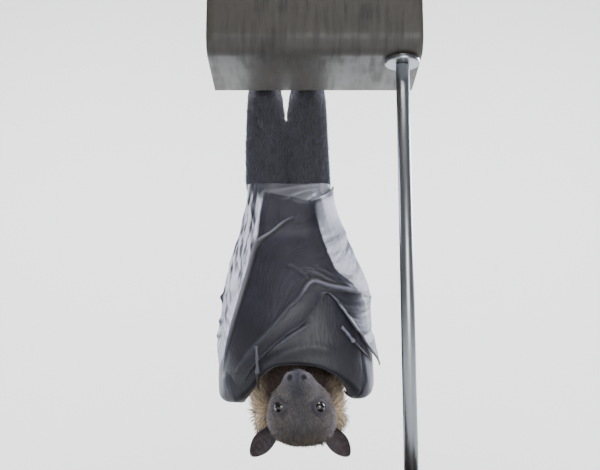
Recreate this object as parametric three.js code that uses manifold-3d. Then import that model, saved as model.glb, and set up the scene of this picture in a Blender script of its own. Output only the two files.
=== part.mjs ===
// An adult grey-headed flying fox at rest, hanging head down with both wings wrapped across its belly.
// It grips the rolled edge of a short cut length of steel eaves gutter, which a plain rod and base hold up.
// Millimetres, +Z up. The belly faces -Y, and the animal's own left is at -X because it hangs upside down.
// The origin is the centre of the underside of the base.
import * as THREE from "three";
import { mergeVertices } from "three/addons/utils/BufferGeometryUtils.js";
import Module from "manifold-3d";

const wasm = await Module();
wasm.setup();

// Driving dimensions
const GAP = 0.3; // between neighbouring solids
const BASE = { width: 190, depth: 165, height: 12, corner: 12, bevel: 1.2 };
const BAT = new THREE.Vector3(-12, 14, 0); // where the gripped bead's axis stands over the base
const BEAD = { height: 318, radius: 5, sheet: 1.2 }; // the rolled edge that the feet hold
const GUTTER = { from: -66, to: 92, pan: 70, corner: 14, front: 50, lip: 4 };
const ROD = { x: 78, y: -66, radius: 5, flange: 13, flangeHeight: 4 };
const LEG_TOP = 317.6;
const LEGS_X = -9.2; // where the two legs meet
const BELL_TOP = 236; // where the wings end and the legs come out
const TRUNK_FOOT = 94; // the shoulders, lowest part of the trunk
const MIDDLE_Y = 11; // the body's own axis, behind the bead
const ROUNDNESS = 2.5; // superellipse power of the body's sections
const BACK_FUR = 139; // turn at which the wing ends and the furry back begins, in degrees
const LAYER = { arm: [0.2, 2.6], under: [0.2, 2.4], over: [3.3, 5.3] }; // sheets outside the trunk
const BONE = 1.7; // how far a finger bone stands out of its membrane
const ARM = { swell: 4.4, reach: 7, wrist: 4.5, wristReach: 12 }; // how far the arm fills its membrane
const CURL = { depth: 5, height: 16 }; // the wing's lowest part turns in towards the neck
const SHOULDER = { depth: 6.2, from: 218, to: 239 }; // and its top slopes in to the legs in front

// The wrapped body's half sections: how far it reaches left, right, front and back at each height.
const STATIONS = [
  { z: 66, left: -56, right: 54, front: -22, back: 37 },
  { z: 84, left: -57, right: 56, front: -29, back: 42 },
  { z: 104, left: -56.5, right: 54, front: -32, back: 46 },
  { z: 128, left: -56, right: 50, front: -32, back: 49 },
  { z: 152, left: -54.5, right: 48.5, front: -29, back: 49 },
  { z: 176, left: -49, right: 40, front: -24, back: 46 },
  { z: 200, left: -42, right: 31, front: -18, back: 41 },
  { z: 220, left: -38, right: 25, front: -13, back: 36 },
  { z: 242, left: -36.5, right: 23.5, front: -8, back: 31 },
];

// Where the pulled skin creases beside the front, seen from it: past the crease the body is flat-sided.
const CREASES = {
  left: [
    { z: 80, x: -59 },
    { z: 92, x: -55 },
    { z: 131, x: -43.5 },
    { z: 158, x: -36.4 },
    { z: 183, x: -30.1 },
    { z: 206, x: -27 },
    { z: 226, x: -25 },
    { z: 240, x: -28 },
  ],
  right: [
    { z: 140, x: 46.5 },
    { z: 152, x: 38 },
    { z: 161, x: 27 },
    { z: 172, x: 22 },
    { z: 185, x: 17.4 },
    { z: 197, x: 14.4 },
    { z: 218, x: 11.5 },
    { z: 238, x: 15 },
  ],
};
const FLATNESS = 0.5; // from round to quite flat

// Lowest height of each wing by turn: the wrists hang lowest, and the throat is open between them.
const RIM = {
  left: [
    { turn: 0, z: 91 },
    { turn: 12, z: 89 },
    { turn: 22, z: 82 },
    { turn: 31, z: 73 },
    { turn: 43, z: 66.5 },
    { turn: 60, z: 65 },
    { turn: 80, z: 68.5 },
    { turn: 102, z: 86 },
    { turn: 140, z: 97 },
  ],
  right: [
    { turn: 0, z: 91 },
    { turn: 12, z: 89 },
    { turn: 27, z: 83 },
    { turn: 40, z: 75 },
    { turn: 52, z: 69 },
    { turn: 66, z: 68 },
    { turn: 80, z: 72 },
    { turn: 102, z: 86 },
    { turn: 140, z: 97 },
  ],
};

// The three fingers of the overlying left wing, as places seen from the front: wrist, knuckle, tip.
const FINGERS = {
  third: [[-58, 79], [-43.5, 131], [-31.5, 178], [-27, 187], [-7, 203], [11, 218], [28, 239]],
  fourth: [[-50, 74], [-30.5, 103], [0.8, 138], [11, 152], [32, 148.5], [57, 149]],
  fifth: [[-44, 71], [-25.3, 95.3], [13.3, 131], [21, 143], [42, 118], [60, 97]],
};
const SCALLOP = 7; // how far the free edge sags in between two finger tips

const HEAD = {
  eyes: new THREE.Vector3(2.5, -28, 58.5), // midway between the eyes
  pitch: 21, // the muzzle points forward and this much up
  yaw: -5,
  eyeApart: 26.4,
  eyeForward: 4.2,
  eyeRadius: 5.5,
};
const EAR = { base: [19.5, -6, 44.5], tip: [37, 8, 27.2], width: 15, thick: 1.3, hollow: 3.4 };

const FLESH = { fur: 0x4a4643, mantle: 0xa8703a, wing: 0x3b3b44, bare: 0x2c292b };
const look = (color, roughness, metalness = 0) =>
  new THREE.MeshStandardMaterial({ color, roughness, metalness });
const furGrey = look(FLESH.fur, 0.9);
const mantleGold = look(FLESH.mantle, 0.9);
const wingLeather = look(FLESH.wing, 0.45);
const bareSkin = look(FLESH.bare, 0.6);
const hornBlack = look(0x1d1a19, 0.35);
const eyeBrown = look(0x2a1712, 0.08);
const zincSteel = look(0x8d9092, 0.4, 0.8);
const rodSteel = look(0xa9abad, 0.3, 0.9);
const basePaint = look(0x2e2c2b, 0.5);

// Small mathematics

const radians = THREE.MathUtils.degToRad;
const signedPower = (value, power) => Math.sign(value) * Math.abs(value) ** power;
const blend = (a, b, t) => a + (b - a) * t;
const rise = (from, to, value) => THREE.MathUtils.smoothstep(value, from, to);

/** A smooth value at x through rows that hold it under key, with x under along. */
function smooth(rows, along, key, x) {
  const last = rows.length - 1;
  const at = THREE.MathUtils.clamp(x, rows[0][along], rows[last][along]);
  let i = 0;
  while (i < last - 1 && at > rows[i + 1][along]) i += 1;
  const slope = (k) => {
    const a = rows[Math.max(k - 1, 0)];
    const b = rows[Math.min(k + 1, last)];
    return (b[key] - a[key]) / (b[along] - a[along]);
  };
  const step = rows[i + 1][along] - rows[i][along];
  const t = (at - rows[i][along]) / step;
  return (
    rows[i][key] * (1 + 2 * t) * (1 - t) ** 2 +
    rows[i + 1][key] * t * t * (3 - 2 * t) +
    slope(i) * step * t * (1 - t) ** 2 -
    slope(i + 1) * step * t * t * (1 - t)
  );
}

/** A smooth open line through a few points. */
const line = (points) => new THREE.CatmullRomCurve3(points, false, "centripetal");

// Meshes and solids

/** An indexed geometry from points and triangles. */
function meshOf(points, faces) {
  const made = new THREE.BufferGeometry();
  made.setAttribute("position", new THREE.Float32BufferAttribute(points.flatMap((p) => p.toArray()), 3));
  made.setIndex(faces.flat());
  return made;
}

/** A closed geometry through rings of equal length, with a fan over each end. */
function loft(rings) {
  const n = rings[0].length;
  const points = rings.flat();
  const faces = [];
  for (let i = 0; i < rings.length - 1; i += 1) {
    for (let j = 0; j < n; j += 1) {
      const [a, b] = [i * n + j, i * n + ((j + 1) % n)];
      faces.push([a, b, b + n], [a, b + n, a + n]);
    }
  }
  for (const [ring, start] of [[rings[0], 0], [rings.at(-1), (rings.length - 1) * n]]) {
    const hub = points.length;
    points.push(ring.reduce((sum, p) => sum.add(p), new THREE.Vector3()).divideScalar(n));
    for (let j = 0; j < n; j += 1) {
      const [a, b] = [start + j, start + ((j + 1) % n)];
      faces.push(start ? [a, b, hub] : [b, a, hub]);
    }
  }
  return meshOf(points, faces);
}

/** A closed slab: side(u, v, 0) is its inner sheet and side(u, v, 1) its outer one. */
function slab(side, nu, nv) {
  const points = [];
  const faces = [];
  const index = (i, j, layer) => (layer * (nu + 1) + i) * (nv + 1) + j;
  for (const layer of [0, 1]) {
    for (let i = 0; i <= nu; i += 1) {
      for (let j = 0; j <= nv; j += 1) points.push(side(i / nu, j / nv, layer));
    }
  }
  const quad = (a, b, c, d) => faces.push([a, b, c], [a, c, d]);
  for (let i = 0; i < nu; i += 1) {
    for (let j = 0; j < nv; j += 1) {
      quad(index(i, j, 1), index(i + 1, j, 1), index(i + 1, j + 1, 1), index(i, j + 1, 1));
      quad(index(i, j, 0), index(i, j + 1, 0), index(i + 1, j + 1, 0), index(i + 1, j, 0));
    }
    quad(index(i, 0, 0), index(i + 1, 0, 0), index(i + 1, 0, 1), index(i, 0, 1));
    quad(index(i, nv, 1), index(i + 1, nv, 1), index(i + 1, nv, 0), index(i, nv, 0));
  }
  for (let j = 0; j < nv; j += 1) {
    quad(index(0, j, 1), index(0, j + 1, 1), index(0, j + 1, 0), index(0, j, 0));
    quad(index(nu, j, 0), index(nu, j + 1, 0), index(nu, j + 1, 1), index(nu, j, 1));
  }
  return meshOf(points, faces);
}

/** A tube with round ends along points, whose radius is a function of the share travelled. */
function limb(points, radius, steps, sides = 8) {
  const path = line(points);
  const frames = path.computeFrenetFrames(steps, false);
  const rings = [];
  for (let i = 0; i <= steps; i += 1) {
    const centre = path.getPointAt(i / steps);
    const r = radius(i / steps);
    rings.push(
      Array.from({ length: sides }, (_, j) => {
        const a = (j / sides) * 2 * Math.PI;
        return centre
          .clone()
          .addScaledVector(frames.normals[i], r * Math.cos(a))
          .addScaledVector(frames.binormals[i], r * Math.sin(a));
      }),
    );
  }
  return loft(rings);
}

/** A geometry as a manifold-3d solid that faces out. */
function solid(geometry) {
  const bare = geometry.clone();
  for (const name of Object.keys(bare.attributes)) {
    if (name !== "position") bare.deleteAttribute(name);
  }
  const merged = mergeVertices(bare, 1e-4);
  const triVerts = new Uint32Array(merged.index.array);
  const p = merged.getAttribute("position");
  const [a, b, c] = [new THREE.Vector3(), new THREE.Vector3(), new THREE.Vector3()];
  let volume = 0;
  for (let i = 0; i < triVerts.length; i += 3) {
    a.fromBufferAttribute(p, triVerts[i]);
    b.fromBufferAttribute(p, triVerts[i + 1]);
    c.fromBufferAttribute(p, triVerts[i + 2]);
    volume += a.dot(b.cross(c));
  }
  if (volume < 0) {
    for (let i = 0; i < triVerts.length; i += 3) {
      [triVerts[i + 1], triVerts[i + 2]] = [triVerts[i + 2], triVerts[i + 1]];
    }
  }
  return new wasm.Manifold(new wasm.Mesh({ numProp: 3, vertProperties: p.array, triVerts }));
}

/** A manifold-3d solid as a geometry, without the crumbs that a cut leaves. */
function geometryOf(made) {
  const [main] = made.decompose().sort((a, b) => b.volume() - a.volume());
  const mesh = main.getMesh();
  const geometry = new THREE.BufferGeometry();
  geometry.setAttribute("position", new THREE.BufferAttribute(mesh.vertProperties, 3));
  geometry.setIndex(new THREE.BufferAttribute(mesh.triVerts, 1));
  geometry.computeVertexNormals();
  return geometry;
}

// The wrapped body's surface

/** The point of a section at a turn (0 front, 90 viewer's right, 180 back), `out` mm outside it. */
function section(rows, turn, z, out) {
  const [s, c] = [Math.sin(radians(turn)), Math.cos(radians(turn))];
  const at = (key) => smooth(rows, "z", key, z);
  const across = (at("right") - at("left")) / 2 + out;
  const deep = (c > 0 ? MIDDLE_Y - at("front") : at("back") - MIDDLE_Y) + out;
  return new THREE.Vector3(
    (at("left") + at("right")) / 2 + across * signedPower(s, 2 / ROUNDNESS),
    MIDDLE_Y - deep * signedPower(c, 2 / ROUNDNESS),
    z,
  );
}

/** How far back the flat sides lie from the round body at a turn and a height. */
function flattening(turn, z) {
  const side = Math.sign(turn);
  const rows = side < 0 ? CREASES.left : CREASES.right;
  const start = Math.abs(turnAt(smooth(rows, "z", "x", z), z, 0));
  if (Math.abs(turn) <= start || Math.abs(turn) >= 90) return 0;
  const [corner, widest, here] = [side * start, side * 90, turn].map((t) => section(STATIONS, t, z, 0));
  const flat = blend(corner.y, widest.y, (here.x - corner.x) / (widest.x - corner.x));
  const foot = side < 0 ? rise(84, 106, z) : rise(120, 146, z);
  return FLATNESS * (flat - here.y) * foot * (1 - rise(224, BELL_TOP, z));
}

/** The point of the wrapped body at a turn and a height, `out` mm outside the trunk. */
function wrap(turn, z, out) {
  const slope = rise(SHOULDER.from, SHOULDER.to, z) * (1 - rise(28, 76, Math.abs(turn)));
  const p = section(STATIONS, turn, z, out - SHOULDER.depth * slope);
  p.y += flattening(turn, z);
  return p;
}

/** Lowest height of the wings at a turn. */
const rim = (turn) => smooth(turn < 0 ? RIM.left : RIM.right, "turn", "z", Math.abs(turn));

/** The point of a wing sheet, which turns in over its lowest part. */
function drape(turn, z, out) {
  const low = (1 - rise(0, CURL.height, z - rim(turn))) ** 2;
  const curl = CURL.depth * low * (1 - rise(90, 125, Math.abs(turn)));
  return wrap(turn, z, out - curl);
}

/** The turn at which the front of the wrapped body is seen at x, at height z. */
function turnAt(x, z, out) {
  const at = (key) => smooth(STATIONS, "z", key, z);
  const share = (x - (at("left") + at("right")) / 2) / ((at("right") - at("left")) / 2 + out);
  return THREE.MathUtils.radToDeg(Math.asin(signedPower(Math.min(Math.max(share, -1), 1), ROUNDNESS / 2)));
}

/** A closed ring of points, one for each of the turns that `sides` makes. */
const ringOf = (sides, place) => Array.from({ length: sides }, (_, i) => place((i / sides) * 360 - 180));

// The stand and the perch

/** The base: a flat board with round corners and a small bevel. */
function standBase() {
  const [w, d, r] = [BASE.width / 2 - BASE.bevel, BASE.depth / 2 - BASE.bevel, BASE.corner];
  const outline = new THREE.Shape();
  outline.absarc(w - r, d - r, r, 0, Math.PI / 2);
  outline.absarc(r - w, d - r, r, Math.PI / 2, Math.PI);
  outline.absarc(r - w, r - d, r, Math.PI, 1.5 * Math.PI);
  outline.absarc(w - r, r - d, r, 1.5 * Math.PI, 2 * Math.PI);
  return new THREE.ExtrudeGeometry(outline, {
    depth: BASE.height - 2 * BASE.bevel,
    bevelThickness: BASE.bevel,
    bevelSize: BASE.bevel,
    bevelSegments: 1,
    curveSegments: 5,
  }).translate(0, 0, BASE.bevel);
}

/** A folded sheet's outline: its centre line given a thickness, round at neither end. */
function sheetOutline(path, thickness) {
  const normals = path.map((p, i) => {
    const before = path[Math.max(i - 1, 0)];
    const after = path[Math.min(i + 1, path.length - 1)];
    return new THREE.Vector2(before.y - after.y, after.x - before.x).normalize();
  });
  const side = (sign) => path.map((p, i) => p.clone().addScaledVector(normals[i], (sign * thickness) / 2));
  return new THREE.Shape([...side(1), ...side(-1).reverse()]);
}

/** Points along an arc in the gutter's section, with angles in degrees. */
function arc(cx, cy, radius, from, to, steps) {
  return Array.from({ length: steps + 1 }, (_, i) => {
    const a = radians(blend(from, to, i / steps));
    return new THREE.Vector2(cx + radius * Math.cos(a), cy + radius * Math.sin(a));
  });
}

/** The gutter: a rolled bead, a flat pan in front of it, a round corner and a front with a rolled lip. */
function gutter() {
  const roll = BEAD.radius - BEAD.sheet / 2;
  const floor = BEAD.height - roll;
  const front = -GUTTER.pan - GUTTER.corner;
  const section = [
    ...arc(0, BEAD.height, roll, 215, -90, 14),
    ...arc(-GUTTER.pan, floor + GUTTER.corner, GUTTER.corner, 270, 180, 5),
    ...arc(front + GUTTER.lip, floor + GUTTER.front, GUTTER.lip, 180, -60, 8),
  ];
  return new THREE.ExtrudeGeometry(sheetOutline(section, BEAD.sheet), {
    depth: GUTTER.to - GUTTER.from,
    bevelEnabled: false,
  }).applyMatrix4(
    new THREE.Matrix4()
      .makeBasis(new THREE.Vector3(0, 1, 0), new THREE.Vector3(0, 0, 1), new THREE.Vector3(1, 0, 0))
      .setPosition(GUTTER.from, 0, 0),
  );
}

/** An upright disc or rod of the stand, from one height to another. */
function upright(radius, from, to, sides = 20) {
  return new THREE.CylinderGeometry(radius, radius, to - from, sides)
    .rotateX(Math.PI / 2)
    .translate(ROD.x, ROD.y, (from + to) / 2);
}

// The furry body

// The sections of the neck in its long collar of fur, from behind the head up to the shoulders.
const NECK = [
  { z: 39, left: -22, right: 26, front: -2, back: 16 },
  { z: 46, left: -31, right: 35, front: -10, back: 27 },
  { z: 56, left: -36.5, right: 40, front: -14, back: 36 },
  { z: 68, left: -38, right: 39, front: -16, back: 42 },
  { z: 80, left: -38, right: 38, front: -17, back: 45 },
  { z: TRUNK_FOOT, left: -38, right: 37, front: -17, back: 46 },
];

/** The trunk: under the wings, standing out to them at the back, and narrowing to the neck below. */
function trunk() {
  const heights = [TRUNK_FOOT, 98, 104, 111, 122, 136, 152, 168, 184, 200, 214, 226, BELL_TOP];
  return loft(
    heights.map((z) =>
      ringOf(36, (turn) => {
        const body = wrap(turn, z, Math.abs(turn) > BACK_FUR + 2 ? 2.4 : -1.3);
        return body.lerp(section(NECK, turn, z, 0), 1 - rise(TRUNK_FOOT - 4, 114, z));
      }),
    ),
  );
}

/** The neck in its long fur, from the shoulders down behind the head. */
function collar() {
  const heights = [39, 42, 47, 54, 63, 73, 84, TRUNK_FOOT - GAP];
  return loft(heights.map((z) => ringOf(24, (turn) => section(NECK, turn, z, 0))));
}

/** One leg in its fur, from the wings' top fold to the ankle. Side is -1 on the viewer's left. */
function leg(side) {
  const outer = (left, right) => (side < 0 ? left : right);
  const rows = [
    { z: BELL_TOP + GAP, outer: outer(-40.4, 25.4), parted: 0, deep: 14.5, y: 13 },
    { z: 262, outer: outer(-41, 24.8), parted: 0, deep: 13, y: 13 },
    { z: 284, outer: outer(-41.2, 24.4), parted: 0.2, deep: 11, y: 13.5 },
    { z: 300, outer: outer(-41.2, 24.2), parted: 1.8, deep: 9.2, y: 14.5 },
    { z: 312, outer: outer(-41.2, 24), parted: 2.9, deep: 7.8, y: 14.5 },
    { z: LEG_TOP, outer: outer(-41, 23.6), parted: 3.5, deep: 5.6, y: 14.5 },
  ];
  return loft(
    [BELL_TOP + GAP, 250, 266, 280, 292, 302, 310, 315, LEG_TOP].map((z) => {
      const at = (key) => smooth(rows, "z", key, z);
      const inner = LEGS_X + side * (at("parted") + GAP / 2);
      const [middle, half] = [(at("outer") + inner) / 2, Math.abs(at("outer") - inner) / 2];
      return ringOf(16, (turn) => {
        const [s, c] = [Math.sin(radians(turn)), Math.cos(radians(turn))];
        return new THREE.Vector3(
          middle + half * signedPower(c, 0.72),
          at("y") + at("deep") * signedPower(s, 0.8),
          z,
        );
      });
    }),
  );
}

/** One hind foot: a short sole behind the bead, and five clawed toes that hook over it. */
function foot(side) {
  const middle = LEGS_X + side * 17;
  const around = (x, degrees, reach) =>
    new THREE.Vector3(
      x,
      reach * Math.cos(radians(degrees)),
      BEAD.height + reach * Math.sin(radians(degrees)),
    );
  const sole = new THREE.SphereGeometry(1, 8, 6).scale(8.8, 3.4, 6.2).rotateX(radians(30));
  let made = solid(sole.translate(...around(middle, 32, 11.6)));
  const reach = BEAD.radius + GAP + 1.9;
  for (let toe = -2; toe <= 2; toe += 1) {
    const x = middle + toe * 3.9;
    const digit = [14, 45, 70, 95, 120].map((a) => around(x, a, reach + (a < 50 ? 0.8 : 0)));
    const claw = [112, 135, 160, 188].map((a, i) => around(x, a, reach + 0.5 - i * 0.25));
    made = made
      .add(solid(limb(digit, (t) => 1.8 - 0.3 * t, 5, 5)))
      .add(solid(limb(claw, (t) => 1.25 * (1 - t) + 0.25, 3, 5)));
  }
  return made;
}

// The wings

/** The arm's half of a wing, round the side and back: membrane over the folded arm. */
function armWing(side) {
  const [front, back] = side < 0 ? [-44, -BACK_FUR] : [50, BACK_FUR];
  const wrist = wrap(side * 60, 82, -4);
  const elbow = wrap(side * 126, 186, 0);
  const forearm = line([wrist, wrap(side * 104, 130, 0), elbow]).getPoints(40);
  const upperArm = line([elbow, wrap(side * 134, 146, 0), wrap(side * 139, 104, 0)]).getPoints(30);
  const near = (p, points, reach) => {
    const distance = Math.min(...points.map((b) => b.distanceTo(p)));
    return Math.exp(-((distance / reach) ** 2));
  };
  return slab(
    (u, v, layer) => {
      const turn = blend(front, back, u);
      const z = blend(rim(turn), BELL_TOP, v ** 1.15);
      const p = wrap(turn, z, 0);
      const out = ARM.swell * near(p, [...forearm, ...upperArm], ARM.reach) * rise(100, 126, z);
      const filled = ARM.wrist * near(p, [wrist], ARM.wristReach);
      return drape(turn, z, layer ? LAYER.arm[1] + out : LAYER.arm[0] - filled);
    },
    13,
    13,
  );
}

/** The hand's half of the right wing, which lies under the left one and closes the front. */
function underWing() {
  return slab(
    (u, v, layer) => {
      const turn = blend(-43, 49, u);
      const z = blend(rim(turn), BELL_TOP - 3 * Math.sin(Math.PI * u), v);
      return drape(turn, z, LAYER.under[layer]);
    },
    12,
    14,
  );
}

/** The left wing's hand, on top of all: membranes between three finger bones that fan from the wrist. */
function overWing() {
  const out = LAYER.over[0];
  const bones = [FINGERS.third, FINGERS.fourth, FINGERS.fifth].map((places) =>
    line(places.map(([x, z]) => new THREE.Vector3(turnAt(x, z, out), z, 0))),
  );
  const along = (u, v) => {
    const k = v < 0.6 ? 0 : 1; // between the third and fourth finger, or the fourth and fifth
    const t = k ? (v - 0.6) / 0.4 : v / 0.6;
    const p = bones[k].getPointAt(u).lerp(bones[k + 1].getPointAt(u), t);
    const sag = Math.sin(Math.PI * t);
    p.x -= SCALLOP * 1.6 * sag * u ** 6;
    return [p, sag];
  };
  return slab(
    (u, v, layer) => {
      const [p, sag] = along(u, v);
      const bone = sag < 1e-6 ? BONE * rise(-0.1, 0.25, u) : 0;
      const free = 3.5 * u ** 8 * (1 - rise(190, BELL_TOP, p.y)); // the free edge stands off the body
      const root = 0.7 * (1 - rise(0, 0.3, u)); // and so does the wrist
      return drape(p.x, p.y, LAYER.over[layer] + free + root + (layer ? bone : 0));
    },
    18,
    15,
  );
}

/** A thumb: a bent bone that lies on the wing, with its hooked claw. */
function thumb(places, lift) {
  const points = places.map(([x, z], i) => wrap(turnAt(x, z, lift), z, lift + (i === 1 ? 1.2 : 0)));
  return limb(points, (t) => blend(2.6, 1.7, t) * (t > 0.8 ? 1 - (t - 0.8) * 4 : 1), 10, 7);
}

// The head

/** A point of the head's own frame (forward, animal's left, up), in the bat's frame. */
const headFrame = new THREE.Matrix4()
  .makeTranslation(HEAD.eyes)
  .multiply(new THREE.Matrix4().makeRotationZ(radians(HEAD.yaw)))
  .multiply(new THREE.Matrix4().makeRotationX(radians(-HEAD.pitch)))
  .multiply(
    new THREE.Matrix4().makeBasis(
      new THREE.Vector3(0, -1, 0),
      new THREE.Vector3(-1, 0, 0),
      new THREE.Vector3(0, 0, -1),
    ),
  );

// The head's sections from the back of the skull to the nose: half width, top and bottom, in its fur,
// and how high up it is widest, from 0 at the bottom to 1 at the top.
const SKULL = [
  { f: -40, half: 10, top: 6, bottom: -7, widest: 0.5 },
  { f: -36, half: 18, top: 12, bottom: -13, widest: 0.5 },
  { f: -28, half: 24, top: 17.5, bottom: -18, widest: 0.5 },
  { f: -16, half: 27, top: 21.5, bottom: -21, widest: 0.52 },
  { f: -4, half: 26, top: 16.5, bottom: -22, widest: 0.6 },
  { f: 6, half: 21.5, top: 6.8, bottom: -22.2, widest: 0.68 },
  { f: 16, half: 15.2, top: 0.5, bottom: -21.4, widest: 0.64 },
  { f: 25, half: 11, top: -3.2, bottom: -19.4, widest: 0.56 },
  { f: 31, half: 9, top: -5, bottom: -17.2, widest: 0.5 },
  { f: 34.5, half: 6, top: -7, bottom: -13.8, widest: 0.5 },
];

/** The head in its fur, `grow` mm larger all round. */
function head(grow = 0) {
  const rings = SKULL.flatMap((row, i) => {
    const next = SKULL[i + 1];
    return next && next.f - row.f > 7 ? [row.f, (row.f + next.f) / 2] : [row.f];
  }).map((f) => {
    const at = (key) => smooth(SKULL, "f", key, f);
    const middle = blend(at("bottom"), at("top"), at("widest"));
    return ringOf(20, (turn) => {
      const [s, c] = [Math.sin(radians(turn)), Math.cos(radians(turn))];
      const high = (s > 0 ? at("top") - middle : middle - at("bottom")) + grow;
      return new THREE.Vector3(
        f + (f > 0 ? grow : -grow),
        (at("half") + grow) * signedPower(c, 0.88),
        middle + high * signedPower(s, 0.88),
      );
    });
  });
  return loft(rings).applyMatrix4(headFrame);
}

/** One eyeball, set in its socket. Side is -1 on the viewer's left. */
function eye(side, grow = 0) {
  return new THREE.SphereGeometry(HEAD.eyeRadius + grow, 12, 8)
    .translate(HEAD.eyeForward, (-side * HEAD.eyeApart) / 2, 0)
    .applyMatrix4(headFrame);
}

/** One ear: a pointed leaf, hollow towards the front. */
function ear(side) {
  const place = ([x, y, z]) => new THREE.Vector3(HEAD.eyes.x + side * x, y, z);
  const [base, tip] = [place(EAR.base), place(EAR.tip)];
  const axis = tip.clone().sub(base);
  const front = new THREE.Vector3(side * 0.35, -0.8, -0.35).cross(axis).cross(axis).normalize().negate();
  const across = axis.clone().cross(front).normalize();
  return slab(
    (u, v, layer) => {
      const s = v * 2 - 1;
      const taper = Math.sqrt(Math.max(1 - u ** 2.4, 0.03)) * blend(0.8, 1, rise(0, 0.35, u));
      return base
        .clone()
        .addScaledVector(axis, u)
        .addScaledVector(across, (s * taper * EAR.width) / 2)
        .addScaledVector(front, EAR.hollow * s * s * (1 - 0.6 * u) + (layer - 0.5) * EAR.thick);
    },
    8,
    6,
  );
}

// Assembly

const object = new THREE.Group();
const bat = new THREE.Group();
bat.position.copy(BAT);
object.add(bat);

/** Adds one named piece to a group. */
function add(group, name, geometry, material) {
  const mesh = new THREE.Mesh(geometry, material);
  mesh.name = name;
  group.add(mesh);
}

const flangeTop = BEAD.height - BEAD.radius - GAP;
const rodTop = flangeTop - ROD.flangeHeight - GAP;
add(object, "stand_base", standBase(), basePaint);
add(bat, "stand_rod", upright(ROD.radius, BASE.height + GAP, rodTop), rodSteel);
add(bat, "stand_flange", upright(ROD.flange, flangeTop - ROD.flangeHeight, flangeTop), rodSteel);
add(bat, "perch_gutter", gutter(), zincSteel);

const headGrown = solid(head(GAP));
add(bat, "trunk", trunk(), furGrey);
add(bat, "wing_left_hand", geometryOf(solid(overWing())), wingLeather);
add(bat, "wing_right_hand", geometryOf(solid(underWing()).subtract(headGrown)), wingLeather);

for (const [name, side] of [["left", -1], ["right", 1]]) {
  add(bat, `leg_${name}`, leg(side), furGrey);
  add(bat, `foot_${name}`, geometryOf(foot(side)), bareSkin);
  add(bat, `wing_${name}_arm`, geometryOf(solid(armWing(side)).subtract(headGrown)), wingLeather);
  add(bat, `eye_${name}`, geometryOf(solid(eye(side))), eyeBrown);
  add(bat, `ear_${name}`, geometryOf(solid(ear(side)).subtract(headGrown)), bareSkin);
}
const sockets = solid(eye(-1, GAP)).add(solid(eye(1, GAP)));
add(bat, "head", geometryOf(solid(head()).subtract(sockets)), furGrey);
add(bat, "collar", geometryOf(solid(collar()).subtract(headGrown)), mantleGold);
add(bat, "thumb_left", thumb([[-30, 106], [-29.5, 92], [-29, 78]], LAYER.over[1] + 4), hornBlack);
add(bat, "thumb_right", thumb([[32, 118], [40, 108.5], [49, 99]], LAYER.under[1] + 3.1), hornBlack);

export default object;
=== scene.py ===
"""A life-size adult grey-headed flying fox, hanging head down with its wings wrapped across its belly.

It grips the rolled edge of a short length of eaves gutter, which a plain rod and base hold up. Lengths are
millimetres in the animal's own frame, where the gripped edge runs along X above the origin, and become metres
in the shared frame when a mesh is made. Left and right are the viewer's, facing the belly.
"""

import logging
import math
from dataclasses import dataclass
from enum import Enum
from typing import Sequence

import bmesh
import bpy
import numpy as np
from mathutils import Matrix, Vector


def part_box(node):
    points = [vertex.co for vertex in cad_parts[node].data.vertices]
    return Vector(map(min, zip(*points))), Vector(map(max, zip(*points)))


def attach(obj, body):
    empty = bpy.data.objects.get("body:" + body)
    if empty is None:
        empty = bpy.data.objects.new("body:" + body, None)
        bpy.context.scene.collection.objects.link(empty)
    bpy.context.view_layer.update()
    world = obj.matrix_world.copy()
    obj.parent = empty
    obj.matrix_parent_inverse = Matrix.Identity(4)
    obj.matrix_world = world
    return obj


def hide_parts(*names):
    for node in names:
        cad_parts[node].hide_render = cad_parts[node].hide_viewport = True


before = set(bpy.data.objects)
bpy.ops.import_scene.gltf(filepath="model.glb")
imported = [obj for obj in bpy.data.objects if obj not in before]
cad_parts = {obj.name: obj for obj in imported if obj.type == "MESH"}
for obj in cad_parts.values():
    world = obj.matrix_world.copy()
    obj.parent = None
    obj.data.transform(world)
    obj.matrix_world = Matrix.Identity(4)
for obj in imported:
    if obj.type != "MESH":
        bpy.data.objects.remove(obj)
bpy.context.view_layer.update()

Array = np.ndarray
Faces = list[Array]
Places = Sequence[tuple[float, float]]
Object, Material = bpy.types.Object, bpy.types.Material
Tree, Node, Socket = bpy.types.NodeTree, bpy.types.Node, bpy.types.NodeSocket

MM = 0.001
ANIMAL_AT = np.array((-12.0, 14.0, 0.0))  # the animal's origin in the shared frame, in mm
BODY = "root"
SEED = 20
SIDES = {-1: "left", 1: "right"}
log = logging.getLogger("flying_fox")


# Small mathematics


def signed_power(value: Array, power: float) -> Array:
    """A power that keeps the sign."""
    return np.sign(value) * np.abs(value) ** power


def rise(low: float, high: float, x: Array) -> Array:
    """0 below low, 1 above high and smooth between them."""
    t = np.clip((x - low) / (high - low), 0.0, 1.0)
    return t * t * (3 - 2 * t)


def mound(distance: Array, reach: float) -> Array:
    """1 at no distance, falling smoothly to nothing over a few times the reach."""
    return np.exp(-((distance / reach) ** 2))


def unit(vectors: Array) -> Array:
    """Each vector at length 1."""
    return vectors / np.maximum(np.linalg.norm(vectors, axis=-1, keepdims=True), 1e-9)


def cubic(a: Array, b: Array, start: Array, end: Array, t: Array) -> Array:
    """The place at t, from 0 to 1, on a cubic from a to b with these slopes at its start and end."""
    near = (1 - t) ** 2
    return a * (1 + 2 * t) * near + b * t * t * (3 - 2 * t) + start * t * near - end * t * t * (1 - t)


def grid(rows: int, columns: int) -> tuple[Array, Array]:
    """Two grids that run from 0 to 1, the first down the rows and the second along the columns."""
    return tuple(np.meshgrid(np.linspace(0, 1, rows), np.linspace(0, 1, columns), indexing="ij"))


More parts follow.
